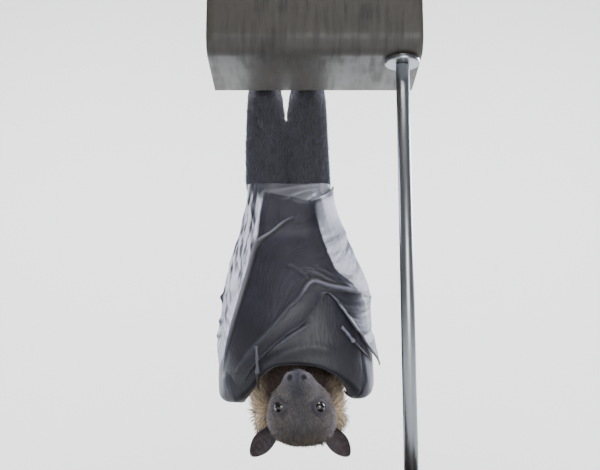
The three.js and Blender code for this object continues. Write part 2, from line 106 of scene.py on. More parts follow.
def turn_round(points: Array, middle_x: float) -> Array:
    """How far round the body places are from its front, in degrees and without a sign."""
    return np.abs(np.degrees(np.arctan2(points[:, 0] - middle_x, 11 - points[:, 1])))


def grain(points: Array, size: float | Sequence[float], seed: int = 0) -> Array:
    """Smooth noise from -1 to 1.

    Args:
        points: Places, in mm, of any shape that ends in 2 or 3.
        size: How wide one lump is, in mm, or one size for each axis.
        seed: Chooses another pattern.

    Returns:
        One value for each place.
    """
    p = points / np.asarray(size, float)
    low = np.floor(p).astype(np.int64)
    t = p - low
    t = t * t * (3 - 2 * t)
    primes = (73856093, 19349663, 83492791)
    total = np.zeros(p.shape[:-1])
    for corner in range(2 ** p.shape[-1]):
        weight = np.ones(p.shape[:-1])
        mixed = np.full(p.shape[:-1], seed * 2654435761 % 2**31, np.int64)
        for axis in range(p.shape[-1]):
            bit = corner >> axis & 1
            weight = weight * (t[..., axis] if bit else 1 - t[..., axis])
            mixed = mixed ^ ((low[..., axis] + bit) * primes[axis])
        mixed = (mixed ^ (mixed >> 13)) * 1274126177 & 0x7FFFFFFF
        mixed = mixed ^ (mixed >> 16)
        total = total + weight * ((mixed & 0xFFFF) / 32767.5 - 1)
    return total


@dataclass(frozen=True)
class Profile:
    """A value that passes smoothly through a few places."""

    at: tuple[float, ...]
    value: tuple[float, ...]

    def __call__(self, x: Array) -> Array:
        """Reads the value, which is constant past both ends.

        Args:
            x: Where to read it.

        Returns:
            One value for each x.
        """
        places, values = np.array(self.at, float), np.array(self.value, float)
        slopes = np.empty_like(values)
        slopes[1:-1] = (values[2:] - values[:-2]) / (places[2:] - places[:-2])
        slopes[[0, -1]] = (np.diff(values) / np.diff(places))[[0, -1]]
        x = np.clip(x, places[0], places[-1])
        i = np.clip(np.searchsorted(places, x, side="right") - 1, 0, len(places) - 2)
        step = places[i + 1] - places[i]
        return cubic(values[i], values[i + 1], slopes[i] * step, slopes[i + 1] * step, (x - places[i]) / step)


class SmoothLine:
    """A smooth open line through a few points, read by the share of its length."""

    def __init__(self, points: Sequence[Sequence[float]], steps: int = 40) -> None:
        """Passes a centripetal spline through the points.

        Args:
            points: The points, in any number of dimensions.
            steps: Pieces between two points.
        """
        p = np.array(points, float)
        padded = np.vstack((2 * p[0] - p[1], p, 2 * p[-1] - p[-2]))
        t = np.linspace(0, 1, steps, endpoint=False)[:, None]
        parts = []
        for a, b, c, d in zip(padded, padded[1:], padded[2:], padded[3:]):
            ab, bc, cd = (max(float(np.linalg.norm(q - r)) ** 0.5, 1e-4) for q, r in ((b, a), (c, b), (d, c)))
            start = ((b - a) / ab - (c - a) / (ab + bc) + (c - b) / bc) * bc
            end = ((c - b) / bc - (d - b) / (bc + cd) + (d - c) / cd) * bc
            parts.append(cubic(b, c, start, end, t))
        self.points = np.vstack((*parts, p[-1:]))
        run = np.linalg.norm(np.diff(self.points, axis=0), axis=1)
        self.lengths = np.concatenate(((0.0,), np.cumsum(run)))

    def at(self, share: Array) -> Array:
        """The point at a share of the length, for any shape of shares."""
        s = np.asarray(share, float) * self.lengths[-1]
        return np.stack([np.interp(s, self.lengths, axis) for axis in self.points.T], axis=-1)


def distance_to(points: Array, line: Array) -> tuple[Array, Array]:
    """How far each point is from a polyline, and the share of the line where it is nearest.

    Args:
        points: Places, of any shape that ends in the number of dimensions.
        line: The polyline's points.

    Returns:
        Distances and shares, one for each place.
    """
    flat = points.reshape(-1, points.shape[-1])
    best = np.full(len(flat), 1e9)
    share = np.zeros(len(flat))
    for k, (a, b) in enumerate(zip(line, line[1:])):
        span = b - a
        t = np.clip((flat - a) @ span / max(float(span @ span), 1e-9), 0, 1)
        d = np.linalg.norm(flat - a - t[:, None] * span, axis=1)
        nearer = d < best
        best[nearer] = d[nearer]
        share[nearer] = (k + t[nearer]) / (len(line) - 1)
    return best.reshape(points.shape[:-1]), share.reshape(points.shape[:-1])


# Meshes


def in_metres(points: Array) -> Array:
    """Places of the animal's frame as one flat row of the shared frame, in metres."""
    return ((points + ANIMAL_AT) * MM).astype(np.float32).ravel()


def into_scene(name: str, data: bpy.types.ID) -> Object:
    """Puts a mesh, a light or a camera into the scene.

    Args:
        name: The object's name.
        data: What it shows.

    Returns:
        The object.
    """
    made = bpy.data.objects.new(name, data)
    bpy.context.scene.collection.objects.link(made)
    return made


def make_piece(name: str, points: Array, faces: Faces, closed: bool = False) -> Object:
    """Makes an object from points in the animal's frame, shaded smooth.

    Args:
        name: The piece's name.
        points: Vertices, in mm.
        faces: Arrays of vertex numbers, each array with one number of corners.
        closed: Whether it is one closed shell, whose faces are then turned to look out.

    Returns:
        The object, linked to the scene.
    """
    mesh = bpy.data.meshes.new(name)
    corners = [np.asarray(f, np.int32) for f in faces if len(f)]
    sizes = np.concatenate([np.full(len(f), f.shape[1], np.int32) for f in corners])
    loops = np.concatenate([f.ravel() for f in corners])
    mesh.vertices.add(len(points))
    mesh.vertices.foreach_set("co", in_metres(points))
    mesh.loops.add(len(loops))
    mesh.loops.foreach_set("vertex_index", loops)
    mesh.polygons.add(len(sizes))
    mesh.polygons.foreach_set("loop_start", np.concatenate(((0,), np.cumsum(sizes)[:-1])).astype(np.int32))
    mesh.polygons.foreach_set("loop_total", sizes)
    mesh.polygons.foreach_set("use_smooth", np.full(len(sizes), True))
    mesh.update(calc_edges=True)
    if closed:
        made = bmesh.new()
        made.from_mesh(mesh)
        bmesh.ops.recalc_face_normals(made, faces=made.faces)
        made.to_mesh(mesh)
        made.free()
    return into_scene(name, mesh)


def points_of(piece: Object) -> Array:
    """Reads a piece's vertices.

    Args:
        piece: The piece.

    Returns:
        Its vertices in the animal's frame, in mm.
    """
    co = np.empty(len(piece.data.vertices) * 3, np.float32)
    piece.data.vertices.foreach_get("co", co)
    return co.reshape(-1, 3).astype(float) / MM - ANIMAL_AT


def set_points(piece: Object, points: Array) -> None:
    """Moves a piece's vertices to places in the animal's frame, in mm."""
    piece.data.vertices.foreach_set("co", in_metres(points))
    piece.data.update()


def set_value(piece: Object, name: str, values: Array) -> None:
    """Stores one number for each vertex, which a finish can read by name."""
    attribute = piece.data.attributes.new(name, "FLOAT", "POINT")
    attribute.data.foreach_set("value", np.asarray(values, np.float32).ravel())


def flatten_ends(piece: Object, flat: Sequence[bool]) -> None:
    """Shades some of a piece's faces flat, so that its edges stay crisp."""
    piece.data.polygons.foreach_set("use_smooth", ~np.asarray(flat))
    piece.data.update()


def squares(number: Array) -> Array:
    """The squares of a grid of vertex numbers, as rows of four."""
    return np.stack((number[:-1, :-1], number[1:, :-1], number[1:, 1:], number[:-1, 1:]), -1).reshape(-1, 4)


def closed_sheet(outer: Array, inner: Array) -> tuple[Array, Faces]:
    """A thin closed slab between two grids of points.

    Args:
        outer: The sheet that shows, as rows of points.
        inner: The sheet behind it, of the same shape.

    Returns:
        Vertices and faces.
    """
    top, under = np.arange(2 * outer[..., 0].size).reshape(2, *outer.shape[:2])
    edges = ((top[0], under[0]), (under[-1], top[-1]), (under[:, 0], top[:, 0]), (top[:, -1], under[:, -1]))
    rims = [np.stack((b[:-1], a[:-1], a[1:], b[1:]), -1) for a, b in edges]
    faces = np.concatenate((squares(top), squares(under)[:, ::-1], *rims))
    return np.concatenate((outer.reshape(-1, 3), inner.reshape(-1, 3))), [faces]


def loft(rings: Array) -> tuple[Array, Faces]:
    """A closed skin through rings of points, with a fan over each end.

    Args:
        rings: Points by ring and by place on the ring.

    Returns:
        Vertices and faces.
    """
    count, sides = rings.shape[:2]
    number = np.arange(count * sides).reshape(count, sides)
    after = np.roll(number, -1, axis=1)
    walls = np.stack((number[:-1], after[:-1], after[1:], number[1:]), -1).reshape(-1, 4)
    hubs = count * sides + np.arange(2)
    first = np.stack((after[0], number[0], np.full(sides, hubs[0])), -1)
    last = np.stack((number[-1], after[-1], np.full(sides, hubs[1])), -1)
    points = np.concatenate((rings.reshape(-1, 3), rings[0].mean(0)[None], rings[-1].mean(0)[None]))
    return points, [walls, np.concatenate((first, last))]


def tube(path: Array, radii: Array, sides: int = 12, flat: float = 1.0) -> tuple[Array, Faces]:
    """A closed round tube along a path.

    Args:
        path: The path's points.
        radii: A radius for each point.
        sides: Corners of its section.
        flat: How thick the section is for its width.

    Returns:
        Vertices and faces.
    """
    forward = unit(np.gradient(path, axis=0))
    side = np.empty_like(path)
    guess = np.array((0.3, 0.2, 1.0)) if abs(forward[0, 2]) < 0.8 else np.array((1.0, 0.3, 0.0))
    for k, f in enumerate(forward):
        guess = guess - f * (guess @ f)
        guess = guess / np.linalg.norm(guess)
        side[k] = guess
    up = np.cross(forward, side)
    a = np.linspace(0, 2 * np.pi, sides, endpoint=False)
    ring = side[:, None] * np.cos(a)[None, :, None] + flat * up[:, None] * np.sin(a)[None, :, None]
    return loft(path[:, None] + ring * np.asarray(radii)[:, None, None])


def joined(parts: Sequence[tuple[Array, Faces]]) -> tuple[Array, Faces]:
    """Several meshes as one.

    Args:
        parts: Vertices and faces of each.

    Returns:
        Vertices and faces of all.
    """
    starts = np.cumsum([0] + [len(points) for points, _ in parts])
    faces = [f + start for (_, some), start in zip(parts, starts) for f in some]
    return np.concatenate([points for points, _ in parts]), faces


def settle(piece: Object, slot: str, finish: Material, *nodes: str) -> Object:
    """Gives a finished piece its finish, its body and the CAD nodes that it stands for.

    Args:
        piece: The piece.
        slot: The record's material slot. Not used.
        finish: Its material.
        nodes: The nodes that it replaces.

    Returns:
        The same piece.
    """
    piece.data.materials.clear()
    piece.data.materials.append(finish)
    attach(piece, BODY)
    if nodes:
        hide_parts(*nodes)
    log.info("%s: %d faces", piece.name, len(piece.data.polygons))
    return piece


# Finishes


COLOURS = {"data_type": "RGBA"}  # makes a mix node mix colours: its inputs are then 0, 6 and 7, its output 2
AS_PLACED = (1.0, 1.0, 1.0)


def linear(colour: str) -> tuple[float, float, float, float]:
    """Turns an sRGB hex colour into the linear colour that a shader takes.

    Args:
        colour: The colour, such as "#3f3f4b".

    Returns:
        Red, green, blue and a full alpha.
    """
    parts = (int(colour[k : k + 2], 16) / 255 for k in (1, 3, 5))
    r, g, b = (c / 12.92 if c <= 0.04045 else ((c + 0.055) / 1.055) ** 2.4 for c in parts)
    return (r, g, b, 1.0)


def add(tree: Tree, kind: str, settings: dict | None = None, inputs: dict | None = None) -> Node:
    """Adds a shader node.

    Args:
        tree: The material's node tree.
        kind: The node's type, without its "ShaderNode" start.
        settings: Values for the node's own properties.
        inputs: By socket name or number, a value to set or an output to link.

    Returns:
        The node.
    """
    made = tree.nodes.new("ShaderNode" + kind)
    for key, value in (settings or {}).items():
        setattr(made, key, value)
    for key, value in (inputs or {}).items():
        if isinstance(value, Socket):
            tree.links.new(value, made.inputs[key])
        else:
            made.inputs[key].default_value = value
    return made


def per_metre(size_mm: float) -> float:
    """A texture scale that makes one repeat as long as a size in mm."""
    return 1 / (size_mm * MM)


class Pattern(Enum):
    """What a fine relief looks like: the texture node's type, and the output that is read."""

    CLOUDS = ("TexNoise", "Fac")
    CELLS = ("TexVoronoi", "Distance")


@dataclass(frozen=True)
class Finish:
    """A finish that every piece of one material shares."""

    name: str
    roughness: float = 0.5
    metallic: float = 0.0
    ior: float = 1.5
    sheen: float = 0.0
    coat: float = 0.0
    relief_mm: float = 0.0  # how deep the relief is
    relief: float = 0.0  # how strongly it shows

    def build(self) -> Material:
        """Makes the material.

        Returns:
            The material, with its colour, gloss and relief.
        """
        material = bpy.data.materials.new(self.name)
        material.use_nodes = True
        tree = material.node_tree
        tree.nodes.clear()
        constants = {"Roughness": self.roughness, "Metallic": self.metallic, "IOR": self.ior}
        constants |= {"Sheen Weight": self.sheen, "Coat Weight": self.coat}
        shader = add(tree, "BsdfPrincipled", None, constants)
        add(tree, "OutputMaterial", None, {"Surface": shader.outputs[0]})
        height = self.paint(tree, shader)
        if height is not None:
            lines = {"Height": height, "Distance": self.relief_mm * MM, "Strength": self.relief}
            tree.links.new(add(tree, "Bump", None, lines).outputs[0], shader.inputs["Normal"])
        return material

    def paint(self, tree: Tree, shader: Node) -> Socket | None:
        """Adds this finish's own colour and roughness.

        Args:
            tree: The material's nodes.
            shader: Its shader node.

        Returns:
            The height of its relief, or nothing where it is smooth.
        """


@dataclass(frozen=True)
class Membrane(Finish):
    """Flight skin: a thin hairless leather, oiled by the animal, so satin and finely creased."""

    name: str = "wing_membrane_skin"
    roughness: float = 0.42
    sheen: float = 0.3
    relief_mm: float = 0.5
    relief: float = 0.55
    dark: str = "#1c1b26"
    light: str = "#2c2b39"
    # painted highlight along the finger bones
    bone: str = "#7b7a89"
    # painted highlight on the lit sides and the top of the wrap
    painted_highlight: str = "#a8a7b3"
    # painted shadow beside the bones, and painted shade low on the front
    hollow: str = "#0d0d11"
    blotch_mm: float = 16.0
    crease_mm: float = 1.7
    pore_mm: float = 0.9
    pull: tuple[float, float, float] = (0.22, 1.0, 1.0)  # creases run along the skin's pull

    def paint(self, tree: Tree, shader: Node) -> Socket:
        """Charcoal skin with painted highlight over the bones, on the lit sides and across the top, painted
        shade beside the bones and low on the front, and creases 1 to 2 mm apart.

        Args:
            tree: The material's nodes.
            shader: Its shader node.

        Returns:
            The height of its creases and pores.
        """
        at = add(tree, "TexCoord").outputs["Object"]
        large = {"Vector": at, "Scale": per_metre(self.blotch_mm), "Detail": 4.0}
        ramp = add(tree, "ValToRGB", None, {"Fac": add(tree, "TexNoise", None, large).outputs["Fac"]})
        for stop, position, tone in zip(ramp.color_ramp.elements, (0.3, 0.72), (self.dark, self.light)):
            stop.position, stop.color = position, linear(tone)
        colour = ramp.outputs["Color"]
        # mixes in painted highlight on the lit sides, the top and the bones, and painted shade beside the
        # bones and low on the front
        for name in ("painted_highlight", "hollow", "bone"):
            amount = add(tree, "Attribute", {"attribute_name": name}).outputs["Fac"]
            tone = linear(getattr(self, name))
            colour = add(tree, "Mix", COLOURS, {0: amount, 6: colour, 7: tone}).outputs[2]
        tree.links.new(colour, shader.inputs["Base Color"])
        cloth = add(tree, "Attribute", {"attribute_name": "cloth"}).outputs["Vector"]
        pulled = add(tree, "Mapping", None, {"Vector": cloth, "Scale": self.pull}).outputs[0]
        small = {"Vector": pulled, "Scale": per_metre(self.crease_mm), "Detail": 3.0}
        creases = add(tree, "TexNoise", None, small)
        pores = add(tree, "TexNoise", None, {"Vector": at, "Scale": per_metre(self.pore_mm), "Detail": 2.0})
        worn = {"Value": creases.outputs["Fac"], 3: self.roughness - 0.1, 4: self.roughness + 0.12}
        tree.links.new(add(tree, "MapRange", None, worn).outputs[0], shader.inputs["Roughness"])
        both = {0: pores.outputs["Fac"], 1: 0.35, 2: creases.outputs["Fac"]}
        return add(tree, "Math", {"operation": "MULTIPLY_ADD"}, both).outputs[0]


@dataclass(frozen=True)
class Fur(Finish):
    """Dense mammal fur over skin: dull at the root, lighter at the tip, with the coat's own markings."""

    name: str = "flying_fox_fur"
    roughness: float = 0.62
    sheen: float = 0.16
    relief_mm: float = 0.4
    relief: float = 0.5
    dark: tuple[str, str] = ("#33323d", "#565564")
    grey: tuple[str, str] = ("#433c3b", "#bbafac")
    # rust-brown fur, dark enough to serve as painted shade on the throat
    rust_and_shade: tuple[str, str] = ("#1a0f0c", "#56301f")
    gold: tuple[str, str] = ("#dcb07a", "#fff3d6")
    russet: tuple[str, str] = ("#3d1e0d", "#94552a")
    hair_mm: float = 0.6
    strands: tuple[float, float, float] = (1.0, 1.0, 0.15)
    darkest: float = 0.55  # of a lock's own colour
    palest: float = 1.45

    def paint(self, tree: Tree, shader: Node) -> Socket:
        """Mixes each marking's root and tip colours by the amounts stored on the mesh.

        Args:
            tree: The material's nodes.
            shader: Its shader node.

        Returns:
            The height of its hairs.
        """
        ends = []
        for end in (0, 1):
            colour: Socket | tuple = linear(self.dark[end])
            for marking in ("grey", "rust_and_shade", "gold", "russet"):
                amount = add(tree, "Attribute", {"attribute_name": marking}).outputs["Fac"]
                tone = linear(getattr(self, marking)[end])
                colour = add(tree, "Mix", COLOURS, {0: amount, 6: colour, 7: tone}).outputs[2]
            ends.append(colour)
        along = add(tree, "Attribute", {"attribute_name": "along"}).outputs["Fac"]
        strand = add(tree, "Mix", COLOURS, {0: along, 6: ends[0], 7: ends[1]}).outputs[2]
        tint = add(tree, "Attribute", {"attribute_name": "tint"}).outputs["Fac"]
        value = add(tree, "MapRange", None, {"Value": tint, 1: -1.0, 2: 1.0, 3: self.darkest, 4: self.palest})
        shade = add(tree, "HueSaturation", None, {"Color": strand, "Value": value.outputs[0]})
        tree.links.new(shade.outputs[0], shader.inputs["Base Color"])
        at = add(tree, "TexCoord").outputs["Object"]
        pulled = add(tree, "Mapping", None, {"Vector": at, "Scale": self.strands}).outputs[0]
        hairs = {"Vector": pulled, "Scale": per_metre(self.hair_mm), "Detail": 2.0}
        return add(tree, "TexNoise", None, hairs).outputs["Fac"]


@dataclass(frozen=True)
class EyeGloss(Finish):
    """A wet eye: a dark brown iris round a black pupil, under a clear glossy cornea."""

    name: str = "wet_eye"
    roughness: float = 0.3
    ior: float = 1.33
    coat: float = 1.0
    coat_ior: float = 1.7
    coat_roughness: float = 0.1
    pupil: str = "#030202"
    iris: str = "#1c0e08"
    white: str = "#0c0808"

    def paint(self, tree: Tree, shader: Node) -> None:
        """Colours the ball by how far it is from its own axis, stored on the mesh.

        Args:
            tree: The material's nodes.
            shader: Its shader node.
        """
        off_axis = add(tree, "Attribute", {"attribute_name": "off_axis"})
        ramp = add(tree, "ValToRGB", None, {"Fac": off_axis.outputs["Fac"]})
        stops = ramp.color_ramp.elements
        for stop, position, tone in zip(stops, (0.26, 0.36), (self.pupil, self.iris)):
            stop.position, stop.color = position, linear(tone)
        for position, tone in ((0.72, self.iris), (0.8, self.white)):
            stops.new(position).color = linear(tone)
        tree.links.new(ramp.outputs["Color"], shader.inputs["Base Color"])
        shader.inputs["Coat IOR"].default_value = self.coat_ior
        shader.inputs["Coat Roughness"].default_value = self.coat_roughness


@dataclass(frozen=True)
class Grained(Finish):
    """A material of two near tones in a coarse pattern, with the relief of a finer one."""

    dark: str = "#000000"
    light: str = "#ffffff"
    drawn_out: tuple[float, float, float] = AS_PLACED  # below 1 where the grain is long
    tone_mm: float = 1.0
    tone_detail: float = 4.0
    fine: Pattern = Pattern.CLOUDS
    fine_mm: float = 1.0
    fine_detail: float = 2.0

    def paint(self, tree: Tree, shader: Node) -> Socket:
        """Mixes the two tones.

        Args:
            tree: The material's nodes.
            shader: Its shader node.

        Returns:
            The height of the finer pattern.
        """
        at = add(tree, "TexCoord").outputs["Object"]
        drawn = add(tree, "Mapping", None, {"Vector": at, "Scale": self.drawn_out}).outputs[0]
        coarse = {"Vector": drawn, "Scale": per_metre(self.tone_mm), "Detail": self.tone_detail}
        amount = add(tree, "TexNoise", None, coarse).outputs["Fac"]
        mixed = add(tree, "Mix", COLOURS, {0: amount, 6: linear(self.dark), 7: linear(self.light)})
        tree.links.new(mixed.outputs[2], shader.inputs["Base Color"])
        kind, output = self.fine.value
        finer = {"Vector": drawn, "Scale": per_metre(self.fine_mm), "Detail": self.fine_detail}
        return add(tree, kind, None, finer).outputs[output]


@dataclass(frozen=True)
class BareSkin(Grained):
    """Thick bare skin of ears, lids and thumbs: leathery and nearly black, mottled, with fine wrinkles."""

    name: str = "bare_skin"
    relief_mm: float = 0.3
    relief: float = 0.6
    dark: str = "#2b2427"
    light: str = "#75696b"
    tone_mm: float = 3.0
    fine: Pattern = Pattern.CELLS
    fine_mm: float = 0.8
    fine_detail: float = 0.0


@dataclass(frozen=True)
class Horn(Grained):
    """Claw horn: hard, near black and smooth from use, so glossy, with faint growth streaks of 1 mm."""

    name: str = "claw_horn"
    roughness: float = 0.28
    relief_mm: float = 0.1
    relief: float = 0.4
    dark: str = "#141010"
    light: str = "#3b302c"
    tone_mm: float = 1.2
    tone_detail: float = 3.0
    fine_mm: float = 1.2
    fine_detail: float = 3.0


@dataclass(frozen=True)
class LacqueredOak(Grained):
    """Oak board under a dark satin lacquer, where growth bands of 7 mm and fine open pores still show."""

    name: str = "lacquered_oak"
    roughness: float = 0.33
    coat: float = 0.3
    relief_mm: float = 0.12
    relief: float = 0.35
    dark: str = "#1b1614"
    light: str = "#3a2f29"
    drawn_out: tuple[float, float, float] = (0.08, 1.0, 1.0)
    tone_mm: float = 7.0
    tone_detail: float = 5.0
    fine_mm: float = 0.8


@dataclass(frozen=True)
class CoatedSheet(Finish):
    """Prepainted steel sheet, roll formed: a satin grey film with dust, drip marks and chalking, darkened as
    painted shade and paler along the bead as painted highlight.
    """

    name: str = "coated_steel_sheet"
    roughness: float = 0.42
    relief_mm: float = 0.15
    relief: float = 0.3
    # painted shade: the film's grey is darkened for the shade under the gutter
    film: str = "#433f3a"
    dirt: str = "#26221f"
    # painted highlight: the paler grey of the lit bead
    hem: str = "#6c6864"
    blotch_mm: float = 30.0
    streak_mm: float = 4.0
    drips: tuple[float, float, float] = (1.0, 0.12, 0.12)
    dirty_roughness: float = 0.8

    def paint(self, tree: Tree, shader: Node) -> Socket:
        """A grey film, dirty in blotches of 30 mm and streaks of 4 mm, and paler along the bead as painted
        highlight.

        Args:
            tree: The material's nodes.
            shader: Its shader node.

        Returns:
            The height of the streaks.
        """
        at = add(tree, "TexCoord").outputs["Object"]
        large = {"Vector": at, "Scale": per_metre(self.blotch_mm), "Detail": 6.0}
        blotch = add(tree, "TexNoise", None, large)
        pulled = add(tree, "Mapping", None, {"Vector": at, "Scale": self.drips}).outputs[0]
        small = {"Vector": pulled, "Scale": per_metre(self.streak_mm), "Detail": 4.0}
        streak = add(tree, "TexNoise", None, small)
        both = {0: blotch.outputs["Fac"], 1: streak.outputs["Fac"]}
        product = add(tree, "Math", {"operation": "MULTIPLY"}, both).outputs[0]
        dirty = add(tree, "MapRange", None, {"Value": product, 1: 0.18, 2: 0.42, 3: 0.0, 4: 0.75}).outputs[0]
        film = add(tree, "Mix", COLOURS, {0: dirty, 6: linear(self.film), 7: linear(self.dirt)}).outputs[2]
        # painted highlight along the bead
        bead_highlight = add(tree, "Attribute", {"attribute_name": "hem"}).outputs["Fac"]
        highlighted = add(tree, "Mix", COLOURS, {0: bead_highlight, 6: film, 7: linear(self.hem)})
        tree.links.new(highlighted.outputs[2], shader.inputs["Base Color"])
        rough = add(tree, "MapRange", None, {"Value": dirty, 3: self.roughness, 4: self.dirty_roughness})
        tree.links.new(rough.outputs[0], shader.inputs["Roughness"])
        return streak.outputs["Fac"]


@dataclass(frozen=True)
class BrushedSteel(Finish):
    """Stainless bar, turned and brushed along its length, so it shows soft long highlights.

    The brush lines are 0.6 mm apart, coarser than real ones, so that they show.
    """

    name: str = "brushed_stainless_steel"
    roughness: float = 0.3
    metallic: float = 1.0
    relief_mm: float = 0.05
    relief: float = 0.3
    colour: str = "#a3a5a8"
    brush_mm: float = 0.6
    brushed: tuple[float, float, float] = (1.0, 1.0, 0.03)

    def paint(self, tree: Tree, shader: Node) -> Socket:
        """One metal colour, whose gloss varies from line to line.

        Args:
            tree: The material's nodes.
            shader: Its shader node.

        Returns:
            The height of the brush lines.
        """
        at = add(tree, "TexCoord").outputs["Object"]
        pulled = add(tree, "Mapping", None, {"Vector": at, "Scale": self.brushed}).outputs[0]
        fine = {"Vector": pulled, "Scale": per_metre(self.brush_mm), "Detail": 2.0}
        lines = add(tree, "TexNoise", None, fine)
        shader.inputs["Base Color"].default_value = linear(self.colour)
        rough = add(tree, "MapRange", None, {"Value": lines.outputs["Fac"], 3: 0.22, 4: 0.42})
        tree.links.new(rough.outputs[0], shader.inputs["Roughness"])
        return lines.outputs["Fac"]


@dataclass(frozen=True)
class StudioPaper(Finish):
    """Seamless background paper: matt, pale and plain."""

    name: str = "studio_paper"
    roughness: float = 0.9
    colour: str = "#d5d8d6"

    def paint(self, tree: Tree, shader: Node) -> None:
        """One pale colour."""
        shader.inputs["Base Color"].default_value = linear(self.colour)


# The animal's form


@dataclass(frozen=True)
class Sections:
    """Rounded sections of a body by height: how far each reaches left, right, front and back."""

    z: tuple[float, ...]
    left: tuple[float, ...]
    right: tuple[float, ...]
    front: tuple[float, ...]
    back: tuple[float, ...]
    middle_y: float = 11.0
    roundness: float = 2.5

    def point(self, turn: Array, z: Array, out: Array) -> Array:
        """The point at a turn and height, some mm outside the section.

        Args:
            turn: Turns in degrees: 0 in front, 90 on the right, 180 behind.
            z: Heights.
            out: How far outside.

        Returns:
            A point for each turn and height.
        """
        left, right = Profile(self.z, self.left)(z), Profile(self.z, self.right)(z)
        front, back = Profile(self.z, self.front)(z), Profile(self.z, self.back)(z)
        s, c = np.sin(np.radians(turn)), np.cos(np.radians(turn))
        deep = np.where(c > 0, self.middle_y - front, back - self.middle_y) + out
        x = (left + right) / 2 + ((right - left) / 2 + out) * signed_power(s, 2 / self.roundness)
        y = self.middle_y - deep * signed_power(c, 2 / self.roundness)
        return np.stack(np.broadcast_arrays(x, y, z), -1)

    def turn_at(self, x: Array, z: Array, out: float) -> Array:
        """Where the front is seen at a place.

        Args:
            x: Places from left to right.
            z: Their heights.
            out: How far outside the section.

        Returns:
            Turns, in degrees.
        """
        left, right = Profile(self.z, self.left)(z), Profile(self.z, self.right)(z)
        share = np.clip((x - (left + right) / 2) / ((right - left) / 2 + out), -1, 1)
        return np.degrees(np.arcsin(signed_power(share, self.roundness / 2)))


